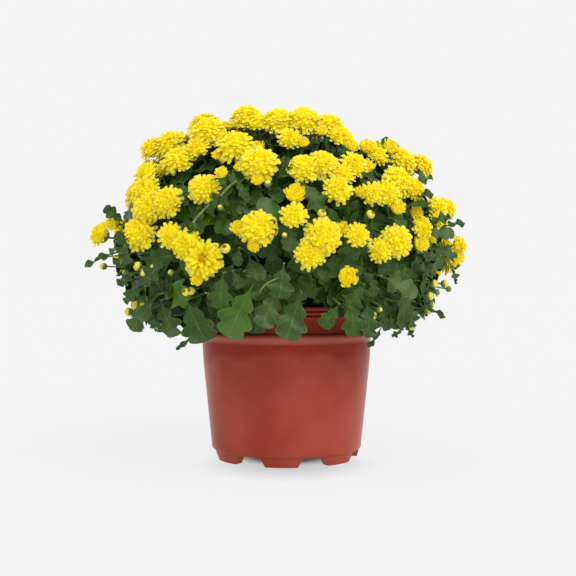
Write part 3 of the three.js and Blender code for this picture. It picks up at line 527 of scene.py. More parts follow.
class Finish:
    """A material whose surface is worked out by expressions and whose colours are laid over each other."""

    def __init__(self, name, colour=None, **constants):
        self.colour = colour
        self.material = bpy.data.materials.new(name)
        self.material.use_nodes = True
        self.tree = self.material.node_tree
        self.tree.nodes.clear()
        self.shader = self.tree.nodes.new("ShaderNodeBsdfPrincipled")
        output = self.tree.nodes.new("ShaderNodeOutputMaterial")
        self.tree.links.new(self.shader.outputs["BSDF"], output.inputs["Surface"])
        for socket, value in constants.items():
            self.shader.inputs[socket.replace("_", " ")].default_value = value

    def node(self, kind, settings=None, inputs=None, output=0):
        """Adds a node, applies its settings, then its values or links, and gives one of its outputs."""
        node = self.tree.nodes.new(kind)
        for setting, value in (settings or {}).items():
            setattr(node, setting, value)
        for socket, value in (inputs or {}).items():
            if isinstance(value, Term):
                self.tree.links.new(value.socket, node.inputs[socket])
            else:
                node.inputs[socket].default_value = value
        return Term(self, node.outputs[output])

    def maths(self, operation, *values):
        return self.node("ShaderNodeMath", {"operation": operation}, dict(enumerate(values)))

    def between(self, value, low, high):
        """0 below low, 1 above high, smooth between."""
        settings = {"interpolation_type": "SMOOTHSTEP"}
        return self.node("ShaderNodeMapRange", settings, {0: value, 1: low, 2: high})

    def attribute(self, name):
        return self.node("ShaderNodeAttribute", {"attribute_name": name}, output=2)

    def place(self):
        return self.node("ShaderNodeTexCoord", output=3)

    def part(self, vector, axis):
        return self.node("ShaderNodeSeparateXYZ", inputs={0: vector}, output=axis)

    def distance(self, point):
        """How far a place is from a point given in millimetres."""
        inputs = {0: self.place(), 1: tuple(c * MM for c in point)}
        return self.node("ShaderNodeVectorMath", {"operation": "DISTANCE"}, inputs, output=1)

    def grain(self, scale, detail=2.0):
        inputs = {"Vector": self.place(), "Scale": scale, "Detail": detail}
        return self.node("ShaderNodeTexNoise", inputs=inputs)

    def lay(self, share, colour):
        """Lays a share of a colour over those before it."""
        inputs = {0: share, 6: self.colour, 7: colour}
        self.colour = self.node("ShaderNodeMix", {"data_type": "RGBA"}, inputs, output=2)

    def feed(self, **terms):
        for socket, term in terms.items():
            self.tree.links.new(term.socket, self.shader.inputs[socket.replace("_", " ")])
        return self.material

    def complete(self, roughness, relief, strength, depth, **more):
        """Feeds the shader its colour, roughness and fine relief, and gives the material."""
        inputs = {"Height": relief, "Strength": strength, "Distance": depth}
        bump = self.node("ShaderNodeBump", inputs=inputs)
        return self.feed(Base_Color=self.colour, Roughness=roughness, Normal=bump, **more)


def tint(red, green, blue):
    """A colour given as it is seen, 0 to 255, as the shader's own linear numbers."""
    seen = (red / 255, green / 255, blue / 255)
    return (*(c / 12.92 if c <= 0.04045 else ((c + 0.055) / 1.055) ** 2.4 for c in seen), 1.0)


def petal_finish():
    finish = Finish(
        "petals_yellow",
        tint(248, 224, 6),
        Subsurface_Weight=0.4,
        Subsurface_Scale=0.004,
        Subsurface_Radius=(1.0, 0.85, 0.1),
        Specular_IOR_Level=0.1,
    )
    along = finish.attribute("along")
    streaks = finish.grain(900.0, 1.0)
    finish.lay(finish.between(along, 0.1, 0.7), tint(252, 234, 22))
    finish.lay(finish.between(along, 0.8, 1.0) * 0.5, tint(250, 239, 138))
    finish.lay(finish.attribute("heart") * 0.45, tint(248, 212, 2))
    finish.lay(finish.attribute("shade") * 0.25, tint(252, 226, 10))
    finish.lay(streaks * 0.1, tint(242, 214, 6))
    return finish.complete(streaks * 0.2 + 0.45, finish.grain(700.0), 0.25, 0.0004)


VEIN_PAIRS = 6.5
VEIN_SLANT = 0.55
# Pale bluish green that the leaves take in soft patches: a painted sheen.
LEAF_PAINTED_SHEEN = tint(98, 124, 70)


def leaf_finish(name, dark, mid, light, vein, roughness):
    """A blade's face: patchy green with a pale rib and side veins, patches of painted sheen, and a rim
    paled by a painted highlight.
    """
    finish = Finish(name, dark, Specular_IOR_Level=0.34)
    blade = finish.node("ShaderNodeUVMap")
    off_rib = finish.maths("ABSOLUTE", finish.part(blade, 0) - 0.5)
    rib = 1 - finish.between(off_rib, 0.012, 0.035)
    branch = finish.maths("FRACT", (finish.part(blade, 1) - off_rib * VEIN_SLANT) * VEIN_PAIRS)
    side = 1 - finish.between(finish.maths("ABSOLUTE", branch - 0.5), 0.035, 0.11)
    veins = finish.maths("MAXIMUM", rib, side * 0.6)
    shade = finish.attribute("shade")
    fine = finish.grain(650.0, 3.0)
    finish.lay(shade, mid)
    finish.lay(finish.between(shade, 0.75, 1.0) * 0.8, light)
    finish.lay(finish.between(finish.grain(90.0, 3.0), 0.45, 0.7) * 0.35, dark)
    # Soft patches of painted sheen.
    finish.lay(finish.between(finish.grain(28.0), 0.5, 0.7) * 0.3, LEAF_PAINTED_SHEEN)
    finish.lay(veins * 0.26, vein)
    # A paler rim: a painted highlight where the edges catch the light.
    finish.lay(finish.between(off_rib, 0.462, 0.5) * 0.4, vein)
    return finish.complete(fine * 0.22 + roughness, fine * 0.35 - veins * 0.65, 0.5, 0.0006)


def plain_plant_finish(name, dark, light, roughness, scale=160.0):
    finish = Finish(name, dark, Specular_IOR_Level=0.2)
    patches = finish.grain(scale, 3.0)
    finish.lay(finish.between(patches, 0.3, 0.7), light)
    finish.lay(finish.attribute("shade") * 0.4, light)
    return finish.complete(patches * 0.2 + roughness, finish.grain(900.0), 0.4, 0.0003)


def pot_finish():
    """Moulded plastic: a deep body under a gloss that handling has dulled in soft patches, with a band of
    painted leaf shade and reflection below the bead, and a painted highlight on the bead.
    """
    finish = Finish("pot_plastic", tint(149, 55, 37), Specular_IOR_Level=0.05, Coat_Roughness=0.14)
    cloudy = finish.grain(22.0, 1.0)
    fine = finish.grain(1400.0)
    scuffs = finish.between(finish.grain(60.0, 6.0), 0.62, 0.78)
    height = finish.part(finish.place(), 2)
    # Below the bead, a band with a wavy lower edge is painted darker, deeper red and less glossy: painted
    # shade and painted reflection of the leaves that hang over it.
    painted_leaf_shade_and_reflection = finish.between(height + cloudy * 0.04, 0.112, 0.124)
    painted_leaf_shade_and_reflection = painted_leaf_shade_and_reflection * (1 - finish.between(height, 0.1105, 0.1125))
    # The bead is painted paler pink: a painted highlight where its rounded top faces the light.
    painted_bead_highlight = finish.between(height, 0.111, 0.1135) * (1 - finish.between(height, 0.1185, 0.122))
    finish.lay(finish.between(finish.grain(14.0, 3.0), 0.35, 0.65), tint(164, 69, 52))
    finish.lay(scuffs * 0.2, tint(176, 88, 66))
    finish.lay(painted_leaf_shade_and_reflection * 0.6, tint(140, 30, 10))
    finish.lay(painted_bead_highlight * 0.36, tint(190, 116, 98))
    gloss = finish.between(cloudy, 0.3, 0.62) * 0.1 + 0.18 - painted_leaf_shade_and_reflection * 0.12
    return finish.complete(fine * 0.06 + scuffs * 0.12 + 0.3, fine, 0.1, 0.0002, Coat_Weight=gloss)


def soil_finish():
    finish = Finish("potting_mix", tint(26, 19, 14))
    crumbs = finish.grain(420.0, 5.0)
    finish.lay(finish.between(crumbs, 0.35, 0.7), tint(74, 56, 40))
    finish.lay(finish.between(finish.grain(230.0, 1.0), 0.68, 0.74) * 0.6, tint(150, 138, 118))
    return finish.complete(crumbs * 0.1 + 0.85, crumbs, 0.9, 0.002)


LEAF_TOP_COLOURS = [tint(30, 58, 1), tint(60, 102, 8), tint(104, 146, 22), tint(114, 148, 54)]
LEAF_UNDER_COLOURS = [tint(50, 78, 20), tint(76, 106, 34), tint(104, 136, 46), tint(120, 148, 72)]

PETALS = petal_finish()
LEAF_TOP = leaf_finish("leaf_upper", *LEAF_TOP_COLOURS, 0.3)
LEAF_UNDER = leaf_finish("leaf_underside", *LEAF_UNDER_COLOURS, 0.6)
STALKS = plain_plant_finish("stalks_green", tint(40, 66, 22), tint(116, 152, 76), 0.5)
BRACTS = plain_plant_finish("bracts_green", tint(84, 112, 54), tint(134, 156, 84), 0.5)
# Near-black green for the plant's hidden inside: painted shade.
SHADE = plain_plant_finish("inner_leaves_painted_shade", tint(8, 18, 2), tint(22, 40, 6), 0.8)
BUD_TIP = plain_plant_finish("bud_tips", tint(212, 200, 62), tint(242, 228, 92), 0.5)
BUD_EYE = plain_plant_finish("bud_eyes", tint(112, 100, 16), tint(150, 134, 24), 0.6)
ANTHERS = plain_plant_finish("golden_middle", tint(140, 92, 10), tint(214, 160, 20), 0.6, 900.0)
POT = pot_finish()
SOIL = soil_finish()


# ---- modelling helpers


def deselect_all():
    bpy.ops.object.select_all(action="DESELECT")


def link(piece):
    bpy.context.scene.collection.objects.link(piece)


def only(piece):
    deselect_all()
    piece.select_set(True)
    bpy.context.view_layer.objects.active = piece


def new_mesh(shape, **settings):
    """A mesh of a basic shape, its place and turn worked into its points."""
    deselect_all()
    getattr(bpy.ops.mesh, f"primitive_{shape}_add")(**settings)
    bpy.ops.object.transform_apply(location=True, rotation=True, scale=False)
    return bpy.context.object


def new_ball(radius, segments=12, rings=8, **settings):
    return new_mesh("uv_sphere", segments=segments, ring_count=rings, radius=radius, **settings)


def select_all():
    bpy.ops.mesh.select_all(action="SELECT")


def edit(piece, mode="VERT"):
    only(piece)
    bpy.ops.object.mode_set(mode="EDIT")
    bpy.ops.mesh.select_mode(type=mode)
    select_all()


def move(step):
    bpy.ops.transform.translate(value=step)


def turn_up(angle, about):
    bpy.ops.transform.rotate(value=-angle, orient_axis="X", center_override=about)


def resize(ratios, about=(0, 0, 0)):
    bpy.ops.transform.resize(value=ratios, center_override=about)


def extrude(step):
    bpy.ops.mesh.extrude_region_move(TRANSFORM_OT_translate={"value": step})


def done():
    bpy.ops.object.mode_set(mode="OBJECT")


def close_up():
    """Turns all faces of the mesh in edit mode outward and leaves edit mode."""
    select_all()
    bpy.ops.mesh.normals_make_consistent(inside=False)
    done()


def select_where(test, kind="verts"):
    """Selects the vertices or faces of the mesh in edit mode that pass a test of their place or number."""
    mesh = bpy.context.object.data
    cage = bmesh.from_edit_mesh(mesh)
    for item in (*cage.verts, *cage.edges, *cage.faces):
        item.select = False
    for item in getattr(cage, kind):
        if test(item):
            item.select_set(True)
    cage.select_flush_mode()
    bmesh.update_edit_mesh(mesh)


def apply_modifier(piece, kind, **settings):
    only(piece)
    modifier = piece.modifiers.new(kind.lower(), kind)
    for setting, value in settings.items():
        setattr(modifier, setting, value)
    bpy.ops.object.modifier_apply(modifier=modifier.name)


def smooth_below(degrees):
    """Shades the selected mesh smooth, but for edges that turn by more than an angle."""
    bpy.ops.object.shade_smooth_by_angle(angle=math.radians(degrees))


def coat(piece, *finishes):
    for finish in finishes:
        piece.data.materials.append(finish)


def set_values(piece, **values):
    """Writes numbers for the vertices, which the finishes read."""
    mesh = piece.data
    for name, value in values.items():
        layer = mesh.attributes.get(name) or mesh.attributes.new(name, "FLOAT", "POINT")
        layer.data.foreach_set("value", np.broadcast_to(np.float32(value), len(mesh.vertices)).copy())


def copy_of(template, matrix, **values):
    """A copy with its own mesh, moved into place, with its own numbers for the finishes."""
    piece = template.copy()
    piece.data = template.data.copy()
    piece.data.transform(matrix)
    link(piece)
    set_values(piece, **values)
    return piece


def join(pieces, name):
    """One piece made of several, in the place of the first."""
    deselect_all()
    for piece in pieces:
        piece.select_set(True)
    bpy.context.view_layer.objects.active = pieces[0]
    if len(pieces) > 1:
        bpy.ops.object.join()
    whole = bpy.context.object
    whole.name = whole.data.name = name
    return whole


def discard(*pieces):
    for piece in pieces:
        bpy.data.objects.remove(piece)


def stand_for(piece, slot, *nodes):
    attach(piece, "root")
    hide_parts(*nodes)


def frame_at(origin, along, face, size):
    """The matrix that puts a template at a place, its Y along one way and its Z near another."""
    y = unit(np.asarray(along, float))
    z = np.asarray(face, float)
    z = unit(z - y * (z @ y))
    x = np.cross(y, z)
    matrix = np.eye(4)
    matrix[:3, :3] = np.column_stack((x, y, z)) * size * MM
    matrix[:3, 3] = origin * MM
    return Matrix(matrix)


# ---- blooms

# Rings along a petal: share of its length, and its width and thickness there, as shares of the most.
PETAL_RINGS = [(0.0, 0.32, 1.0), (0.42, 0.74, 1.0), (0.74, 1.0, 0.9), (0.93, 0.88, 0.7), (1.0, 0.5, 0.4)]
PETAL_THICKNESS = 0.035
PETAL_CHANNEL = 0.2
PETAL_SPREAD = 0.32
PETAL_TILT = 0.08
PETAL_TWIST = 0.18
PETAL_SIZES = (0.87, 1.05)
FULLNESS = 1.12  # how much wider a head is than its petals' layers say
MIDDLE_RADIUS = 0.2
MIDDLE_HEIGHT = 0.2
HEART_RADIUS = 0.74
HEART_HEIGHT = 0.5
HEART_UNDERSIDE = 0.3
# Heads above the first size are fully open, and those below the second are still opening.
FULL_RADIUS = 13.0
OPENING_RADIUS = 9.5

# Layers of petals from the outermost in, for blooms of radius 1: number, distance from the axis and
# height of the root, the bend and the tip, and width.
FULL_LAYERS = [
    (20, (0.10, -0.24), (0.66, 0.00), (1.03, -0.18), 0.23),
    (21, (0.09, -0.16), (0.64, 0.16), (1.02, -0.02), 0.23),
    (20, (0.08, -0.08), (0.58, 0.34), (0.92, 0.18), 0.22),
    (18, (0.08, 0.00), (0.48, 0.50), (0.77, 0.37), 0.21),
    (15, (0.07, 0.02), (0.37, 0.60), (0.57, 0.53), 0.20),
    (12, (0.05, 0.04), (0.25, 0.60), (0.36, 0.61), 0.18),
    (7, (0.03, 0.08), (0.13, 0.54), (0.16, 0.60), 0.14),
]
YOUNG_LAYERS = [
    (15, (0.09, -0.22), (0.62, 0.06), (1.02, -0.02), 0.24),
    (15, (0.08, -0.14), (0.58, 0.26), (0.92, 0.20), 0.24),
    (13, (0.07, -0.04), (0.46, 0.44), (0.72, 0.44), 0.22),
    (11, (0.06, 0.00), (0.34, 0.54), (0.50, 0.60), 0.20),
    (8, (0.05, 0.04), (0.22, 0.56), (0.29, 0.66), 0.18),
    (5, (0.03, 0.06), (0.12, 0.50), (0.11, 0.68), 0.15),
]
GOLDEN_LAYERS = FULL_LAYERS[:4] + [
    (15, (0.07, 0.00), (0.36, 0.46), (0.58, 0.47), 0.17),
    (12, (0.12, 0.02), (0.26, 0.36), (0.40, 0.46), 0.16),
    (9, (0.14, 0.04), (0.20, 0.26), (0.26, 0.38), 0.14),
]
OPENING_LAYERS = [
    (10, (0.10, -0.24), (0.70, 0.05), (0.94, 0.42), 0.42),
    (9, (0.08, -0.18), (0.56, 0.16), (0.70, 0.66), 0.40),
    (7, (0.06, -0.10), (0.38, 0.30), (0.40, 0.78), 0.34),
    (4, (0.03, 0.00), (0.16, 0.36), (0.12, 0.80), 0.26),
]


def bend_point(root, bend, tip, share):
    """A point on a petal's arched path, as distance from the bloom's axis and height."""
    return [
        (1 - share) ** 2 * a + 2 * share * (1 - share) * b + share * share * c
        for a, b, c in zip(root, bend, tip)
    ]


def model_petal(root, bend, tip, width):
    """A channelled blade, extruded ring by ring along its arched path."""
    path = [Vector((0, *bend_point(root, bend, tip, share))) for share, _, _ in PETAL_RINGS]
    slopes = []
    for i in range(len(path)):
        step = path[min(i + 1, len(path) - 1)] - path[max(i - 1, 0)]
        slopes.append(math.atan2(step.z, step.y))
    petal = new_mesh("circle", vertices=4, radius=0.5, fill_type="NGON", rotation=(math.pi / 2, 0, 0))
    edit(petal)
    _, first_width, first_depth = PETAL_RINGS[0]
    resize((width * first_width, 1, PETAL_THICKNESS * first_depth))
    select_where(lambda vertex: abs(vertex.co.x) < 1e-4)
    move((0, 0, -PETAL_CHANNEL * width * first_width))
    select_all()
    turn_up(slopes[0], (0, 0, 0))
    move(path[0])
    for i in range(1, len(path)):
        extrude(path[i] - path[i - 1])
        turn_up(slopes[i] - slopes[i - 1], path[i])
        wider = PETAL_RINGS[i][1] / PETAL_RINGS[i - 1][1]
        thinner = PETAL_RINGS[i][2] / PETAL_RINGS[i - 1][2]
        resize((wider, thinner, thinner), path[i])
    close_up()
    coat(petal, PETALS)
    smooth_below(50)
    set_values(petal, along=np.repeat([share for share, _, _ in PETAL_RINGS], 4))
    return petal


def model_bloom(layers, chance, golden=False):
    """One flower head of radius 1, facing +Z, from its layers of petals."""
    pieces = []
    for depth, (count, root, bend, tip, width) in enumerate(layers):
        petal = model_petal(root, bend, tip, width)
        offset = chance.uniform(0, TURN)
        for i in range(count):
            spin = offset + (i + chance.uniform(-PETAL_SPREAD, PETAL_SPREAD)) * TURN / count
            tilt = chance.gauss(0, PETAL_TILT)
            twist = chance.gauss(0, PETAL_TWIST)
            matrix = Matrix.Rotation(spin, 4, "Z") @ Matrix.Rotation(tilt, 4, "X")
            matrix = matrix @ Matrix.Rotation(twist, 4, "Y") @ Matrix.Scale(chance.uniform(*PETAL_SIZES), 4)
            pieces.append(copy_of(petal, matrix, heart=depth / (len(layers) - 1)))
        discard(petal)
    pieces.append(model_middle() if golden else model_heart())
    return join(pieces, "flower_head")


def model_heart():
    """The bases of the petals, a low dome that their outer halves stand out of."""
    heart = new_ball(1)
    edit(heart)
    resize((HEART_RADIUS, HEART_RADIUS, HEART_HEIGHT))
    select_where(lambda vertex: vertex.co.z < -0.01)
    resize((1, 1, HEART_UNDERSIDE))
    done()
    coat(heart, PETALS)
    heart.data.shade_smooth()
    set_values(heart, along=0.4, heart=0.7)
    return heart


def model_middle():
    """The golden disc of an old bloom, a low dome of short tubes."""
    middle = new_ball(MIDDLE_RADIUS, 14)
    edit(middle)
    resize((1, 1, 0.7))
    move((0, 0, MIDDLE_HEIGHT))
    bpy.ops.mesh.poke()
    done()
    coat(middle, ANTHERS)
    set_values(middle, along=0.0, heart=1.0)
    return middle


def dress_blooms(blooms):
    """A copy of one of ten modelled flower heads for each bloom, joined spray by spray."""
    chance = random.Random(SEED)
    full = [model_bloom(FULL_LAYERS, chance) for _ in range(4)]
    young = [model_bloom(YOUNG_LAYERS, chance) for _ in range(3)]
    opening = [model_bloom(OPENING_LAYERS, chance) for _ in range(2)]
    golden = model_bloom(GOLDEN_LAYERS, chance, golden=True)
    open_centred = FRONT_BLOOMS.index(OPEN_CENTRED)
    fuller = Matrix.Diagonal((FULLNESS, FULLNESS, 1, 1))
    sprays = {}
    for number, bloom in enumerate(blooms):
        kinds = full if bloom.radius > FULL_RADIUS else young
        if bloom.radius < OPENING_RADIUS:
            kinds = opening
        template = golden if number == open_centred else chance.choice(kinds)
        matrix = frame_at(bloom.place, beside(bloom.facing), bloom.facing, bloom.radius)
        matrix = matrix @ fuller @ Matrix.Rotation(chance.uniform(0, TURN), 4, "Z")
        copy = copy_of(template, matrix, shade=chance.random())
        sprays.setdefault(bloom.node, []).append(copy)
    discard(*full, *young, *opening, golden)
    for node, copies in sprays.items():
        stand_for(join(copies, node.replace("blooms", "flower_heads")), "petals", node)


# ---- leaves

# Rows of a leaf from the foot of its stalk to its tip: share of the length and half width.
LARGE_LEAF_ROWS = [
    (0.0, 0.014), (0.14, 0.02), (0.21, 0.07), (0.28, 0.16), (0.36, 0.215), (0.425, 0.195), (0.475, 0.145),
    (0.53, 0.235), (0.59, 0.31), (0.65, 0.335), (0.71, 0.31), (0.75, 0.245), (0.78, 0.215), (0.82, 0.25),
    (0.87, 0.255), (0.92, 0.225), (0.97, 0.15), (1.0, 0.06),
]
SMALL_LEAF_ROWS = [
    (0.0, 0.016), (0.16, 0.03), (0.27, 0.15), (0.36, 0.21), (0.44, 0.17), (0.5, 0.2), (0.6, 0.31),
    (0.69, 0.3), (0.76, 0.215), (0.85, 0.245), (0.94, 0.2), (1.0, 0.07),
]
LEAF_KINDS = 7
LEAF_COLUMNS = 2
LEAF_THICKNESS = 0.009
LEAF_SWEEP = 0.26
LEAF_FOLDS = (0.04, 0.26)
LEAF_DROOPS = (0.04, 0.3)
LEAF_RIPPLES = (0.06, 0.2)
RIPPLE_RATE = 17.0
RIPPLE_STAGGER = 2.1
RIPPLE_HEIGHT = 2.2


def model_leaf(rows, fold, droop, ripple, chance):
    """A lobed blade of length 1 along +Y: a grid whose rows take its width, folded along its rib."""
    last_row = len(rows) - 1
    leaf = new_mesh("grid", x_subdivisions=LEAF_COLUMNS, y_subdivisions=last_row, size=1)
    edit(leaf)
    across = LEAF_COLUMNS + 1
    phase = chance.uniform(0, TURN)
    for row, (share, half) in enumerate(rows):
        select_where(lambda vertex: vertex.index // across == row)
        resize((half * 2, 1, 1))
        move((0, share - (row / last_row - 0.5), -droop * share * share))
    done()
    for vertex in leaf.data.vertices:
        off = abs(vertex.co.x)
        stagger = RIPPLE_STAGGER if vertex.co.x > 0 else 0
        wave = ripple * math.sin(vertex.co.y * RIPPLE_RATE + phase + stagger) * off * RIPPLE_HEIGHT
        vertex.co.z += fold * off + wave
        vertex.co.y += LEAF_SWEEP * off * (1 - rows[vertex.index // across][0] * 0.6)
    coat(leaf, LEAF_TOP, LEAF_UNDER)
    apply_modifier(leaf, "SOLIDIFY", thickness=LEAF_THICKNESS, offset=0, material_offset=1)
    smooth_below(55)
    return leaf


def model_leaves(chance):
    """Large and small leaves, each folded, drooping and rippled in its own way."""
    large, small = [], []
    for _ in range(LEAF_KINDS):
        shape = [chance.uniform(*limits) for limits in (LEAF_FOLDS, LEAF_DROOPS, LEAF_RIPPLES)]
        large.append(model_leaf(LARGE_LEAF_ROWS, *shape, chance))
        small.append(model_leaf(SMALL_LEAF_ROWS, *shape, chance))
    return large, small


# ---- buds and cups

CLOSED_BUD_RADIUS = 3.3
CUP_RINGS = [(0.16, -0.62), (0.42, -0.52), (0.56, -0.34), (0.5, -0.2)]


def model_bud(opening):
    """A bud of radius 1, facing +Z: green bracts and a yellow tip, with an eye as it opens."""
    bud = new_ball(1)
    edit(bud)
    select_where(lambda vertex: vertex.index % 2 == 0 and 0.1 < vertex.co.z < 0.6)
    resize((1.08, 1.08, 1))
    if opening:
        select_where(lambda vertex: vertex.co.z > 0.8)
        resize((1.3, 1.3, 1))
        select_where(lambda vertex: vertex.co.z > 0.98)
        move((0, 0, -0.5))
    done()
    coat(bud, BRACTS, BUD_TIP, BUD_EYE)
    for face in bud.data.polygons:
        highest = max(bud.data.vertices[corner].co.z for corner in face.vertices)
        face.material_index = int(highest > (0.3 if opening else 0.75))
        if opening and len(face.vertices) == 3 and highest > 0.5:
            face.material_index = 2
    bud.data.shade_smooth()
    return bud


def model_cup():
    """The green cup of bracts under a bloom of radius 1."""
    cup = lathe("cup", CUP_RINGS, 12, 1)
    coat(cup, BRACTS)
    return cup


# ---- foliage

START_LIFT = 4.0
# What leaves keep clear of: a bloom's depth against its radius, how much of its face stays free from the
# front, the same for a bud, how far back that counts, and the room beside and above the pot.
BLOOM_DEPTH = 0.6
BLOOM_FACE = 0.85
BUD_MARGIN = 1.5
KEEP_FREE_BEFORE = 20.0
POT_MARGIN = (3.0, 2.0)
# Where a leaf is tried for room: shares of its length along it, and to each side.
LEAF_SAMPLES = [(along, side) for along in (0.35, 0.7, 1.0) for side in (-0.25, 0, 0.25)]
STEM_RISE = 22.0
STEM_BEND = [1.5, -1, 0]
STALK_LEAVES = (0.42, 0.6, 0.76, 0.9)
STALK_LEAF_LENGTHS = (26, 40)
COVER_STEPS = 1400
COVER_LOWEST = -0.45
COVER_SHARES = (0.74, 0.9)
COVER_LENGTHS = (24, 46)
LARGE_FROM = 36
SKIRT_STEPS = 110
SKIRT_HALF_TURN = 0.66
SKIRT_BOTTOM = 134
SKIRT_TOP = 196
SKIRT_RING = 96
SKIRT_LENGTHS = (34, 52)
# How light the first of the placed leaves is, a paler tone that is painted light, and the most that the
# others are.
FIRST_LEAF_PAINTED_LIGHT = 0.74
PLACED_DARK = 0.55
# How far behind its foot a placed leaf starts and how long it is, against the way from foot to tip.
PLACED_STALK = 0.12
PLACED_LENGTH = 1.1
# Leaves further across than the first and less deep than the second turn their faces to the front.
SIDE_ACROSS = 80
SIDE_DEPTH = 40
SIDE_TO_FRONT = 0.6
CORE_SHARE = 0.75
CORE_CORNER = 1.2
CORE_ROUGHNESS = [(60, 0.12), (170, 0.07)]  # scale and height of the noise


def points_on_leaf(root, aim, face, length):
    aim = unit(aim)
    side = unit(np.cross(aim, face))
    return np.array([root + aim * length * t + side * length * s for t, s in LEAF_SAMPLES])


def beyond_outline(points):
    across = (points[:, 0] - DOME_CENTRE[0]) / DOME_RADII[0]
    deep = (points[:, 1] - DOME_CENTRE[1]) / DOME_RADII[1]
    ring = np.hypot(across, deep) * DOME_RADII[0]
    return bool((ring > np.interp(points[:, 2], *zip(*OUTLINE), left=0, right=0)).any())


def meets_pot(points):
    beside_wall = np.hypot(points[:, 0], points[:, 1]) < SHOULDER_RADIUS + POT_MARGIN[0]
    return bool((beside_wall & (points[:, 2] < RIM_HEIGHT + POT_MARGIN[1])).any())


def start_near(place, share):
    """Where the limb to a place leaves the middle of the plant."""
    start = np.array([0, 0, DOME_CENTRE[2]])
    start = start + (place - start) * share
    start[2] = max(start[2], THICKET_BOTTOM + START_LIFT)
    return start


class Thicket:
    """Gathers what one cutting grows: limbs as curves, and copies of leaves, buds and cups."""

    def __init__(self, cutting, blooms):
        self.cutting = cutting
        self.own_blooms = [bloom for bloom in blooms if self.owns(bloom.place)]
        self.chance = random.Random(SEED + 1 + cutting)
        self.limbs = []
        self.pale_limbs = []
        self.pieces = []
        seen = [(bloom.place, bloom.radius * BLOOM_FACE) for bloom in blooms[: len(FRONT_BLOOMS)]]
        seen += [(place, radius + BUD_MARGIN) for place, radius in sighted_rounds(FRONT_BUDS)]
        self.seen = [(*seen_at(place), radius) for place, radius in seen]
        self.places = np.array([bloom.place for bloom in blooms])
        self.facings = np.array([bloom.facing for bloom in blooms])
        self.radii = np.array([bloom.radius for bloom in blooms])

    def owns(self, point):
        return cutting_of(point) == self.cutting

    def hits_bloom(self, points, spare):
        off = points[:, None, :] - self.places[None]
        height = np.einsum("pbc,bc->pb", off, self.facings)
        across = np.sqrt(np.maximum((off**2).sum(2) - height**2, 0))
        inside = (across / (self.radii + spare)) ** 2 + (height / (BLOOM_DEPTH * self.radii + spare)) ** 2
        return bool((inside < 1).any())

    def hides_flower(self, points):
        """Whether, from the front, any point covers a bloom or bud, or a place that is left open."""
        for point in points:
            x, z, depth = seen_at(point)
            if off_window(NOTCH_SKY, x, z) == 0:
                return True
            if point[1] > KEEP_FREE_BEFORE:
                continue
            if any(off_window(window, x, z) == 0 for window in OPEN_WINDOWS):
                return True
            for other_x, other_z, other_depth, radius in self.seen:
                shown = radius * EYE[1] / -other_depth
                if depth < other_depth and math.hypot(x - other_x, z - other_z) < shown:
                    return True
        return False

    def limb(self, points, radii):
        self.limbs.append((points, radii))

    def add_leaf(self, template, root, aim, face, length, shade, breadth=1.0):
        matrix = frame_at(root, aim, face, length) @ Matrix.Diagonal((breadth, 1, 1, 1))
        self.pieces.append(copy_of(template, matrix, shade=shade))

    def try_leaf(self, templates, root, aim, face, length, spare):
        """Adds a leaf where it clears the flowers, the outline and the pot, and tells whether it did."""
        points = points_on_leaf(root, aim, face, length)
        if self.hits_bloom(points, spare) or self.hides_flower(points):
            return False
        if beyond_outline(points) or meets_pot(points):
            return False
        shade = self.chance.betavariate(1.6, 2.2)
        self.add_leaf(self.chance.choice(templates), root, aim, face, length, shade)
        return True


def grow_stems(thicket):
    root = polar(ROOT_RING, cutting_angle(thicket.cutting), SOIL_TOP - ROOT_DEPTH)
    top = root + [0, 0, THICKET_BOTTOM + STEM_RISE - root[2]]
    thicket.limb([root, (root + top) / 2 + STEM_BEND, top], [STEM_RADIUS, STEM_RADIUS, STEM_RADIUS * 0.8])


def grow_stalks(thicket, small, cup):
    """A stalk with a few leaves under each of the cutting's blooms."""
    chance = thicket.chance
    for bloom in thicket.own_blooms:
        top = bloom.place - bloom.facing * bloom.radius * 0.5
        start = start_near(bloom.place, 0.5)
        middle = (start + top) / 2 + np.array([chance.uniform(-4, 4) for _ in range(3)])
        middle = middle - bloom.facing * 3
        thicket.limb([start, middle, top], [STALK_RADIUS * 1.3, STALK_RADIUS, STALK_RADIUS * 0.9])
        matrix = frame_at(bloom.place, beside(bloom.facing), bloom.facing, bloom.radius)
        thicket.pieces.append(copy_of(cup, matrix, shade=chance.random()))
        along = unit(top - start)
        sideways = unit(np.cross(along, [0.2, 0.9, 0.3]))
        turn = chance.uniform(0, TURN)
        for share in STALK_LEAVES:
            turn += 2.4 + chance.uniform(-0.3, 0.3)
            root = start + (top - start) * share
            out = math.cos(turn) * sideways + math.sin(turn) * np.cross(along, sideways)
            aim = out + along * chance.uniform(0.3, 1.0)
            length = chance.uniform(*STALK_LEAF_LENGTHS) * (1.25 - 0.35 * share)
            thicket.try_leaf(small, root, aim, along + out * 0.2 + [0, 0, 0.4], length, spare=-0.5)


def grow_cover(thicket, large, small):
    """Leaves that close the plant's surface between the blooms."""
    chance = thicket.chance
    for direction in spiral(COVER_STEPS, COVER_LOWEST):
        root = on_dome(direction, chance.uniform(*COVER_SHARES))
        if not thicket.owns(root):
            continue
        outward = outward_on_dome(root)
        side = unit(np.cross(outward, unit(np.array([chance.gauss(0, 1) for _ in range(3)]))))
        aim = side + outward * chance.uniform(-0.1, 0.45) + [0, 0, -0.35]
        face = outward + side * chance.uniform(-0.35, 0.1) + [0, 0, 0.2]
        length = chance.uniform(*COVER_LENGTHS)
        kinds = large if length > LARGE_FROM else small
        if thicket.try_leaf(kinds, root, aim, face, length, spare=-1.0):
            thicket.limb([start_near(root, 0.72), root], [0.9, 0.7])


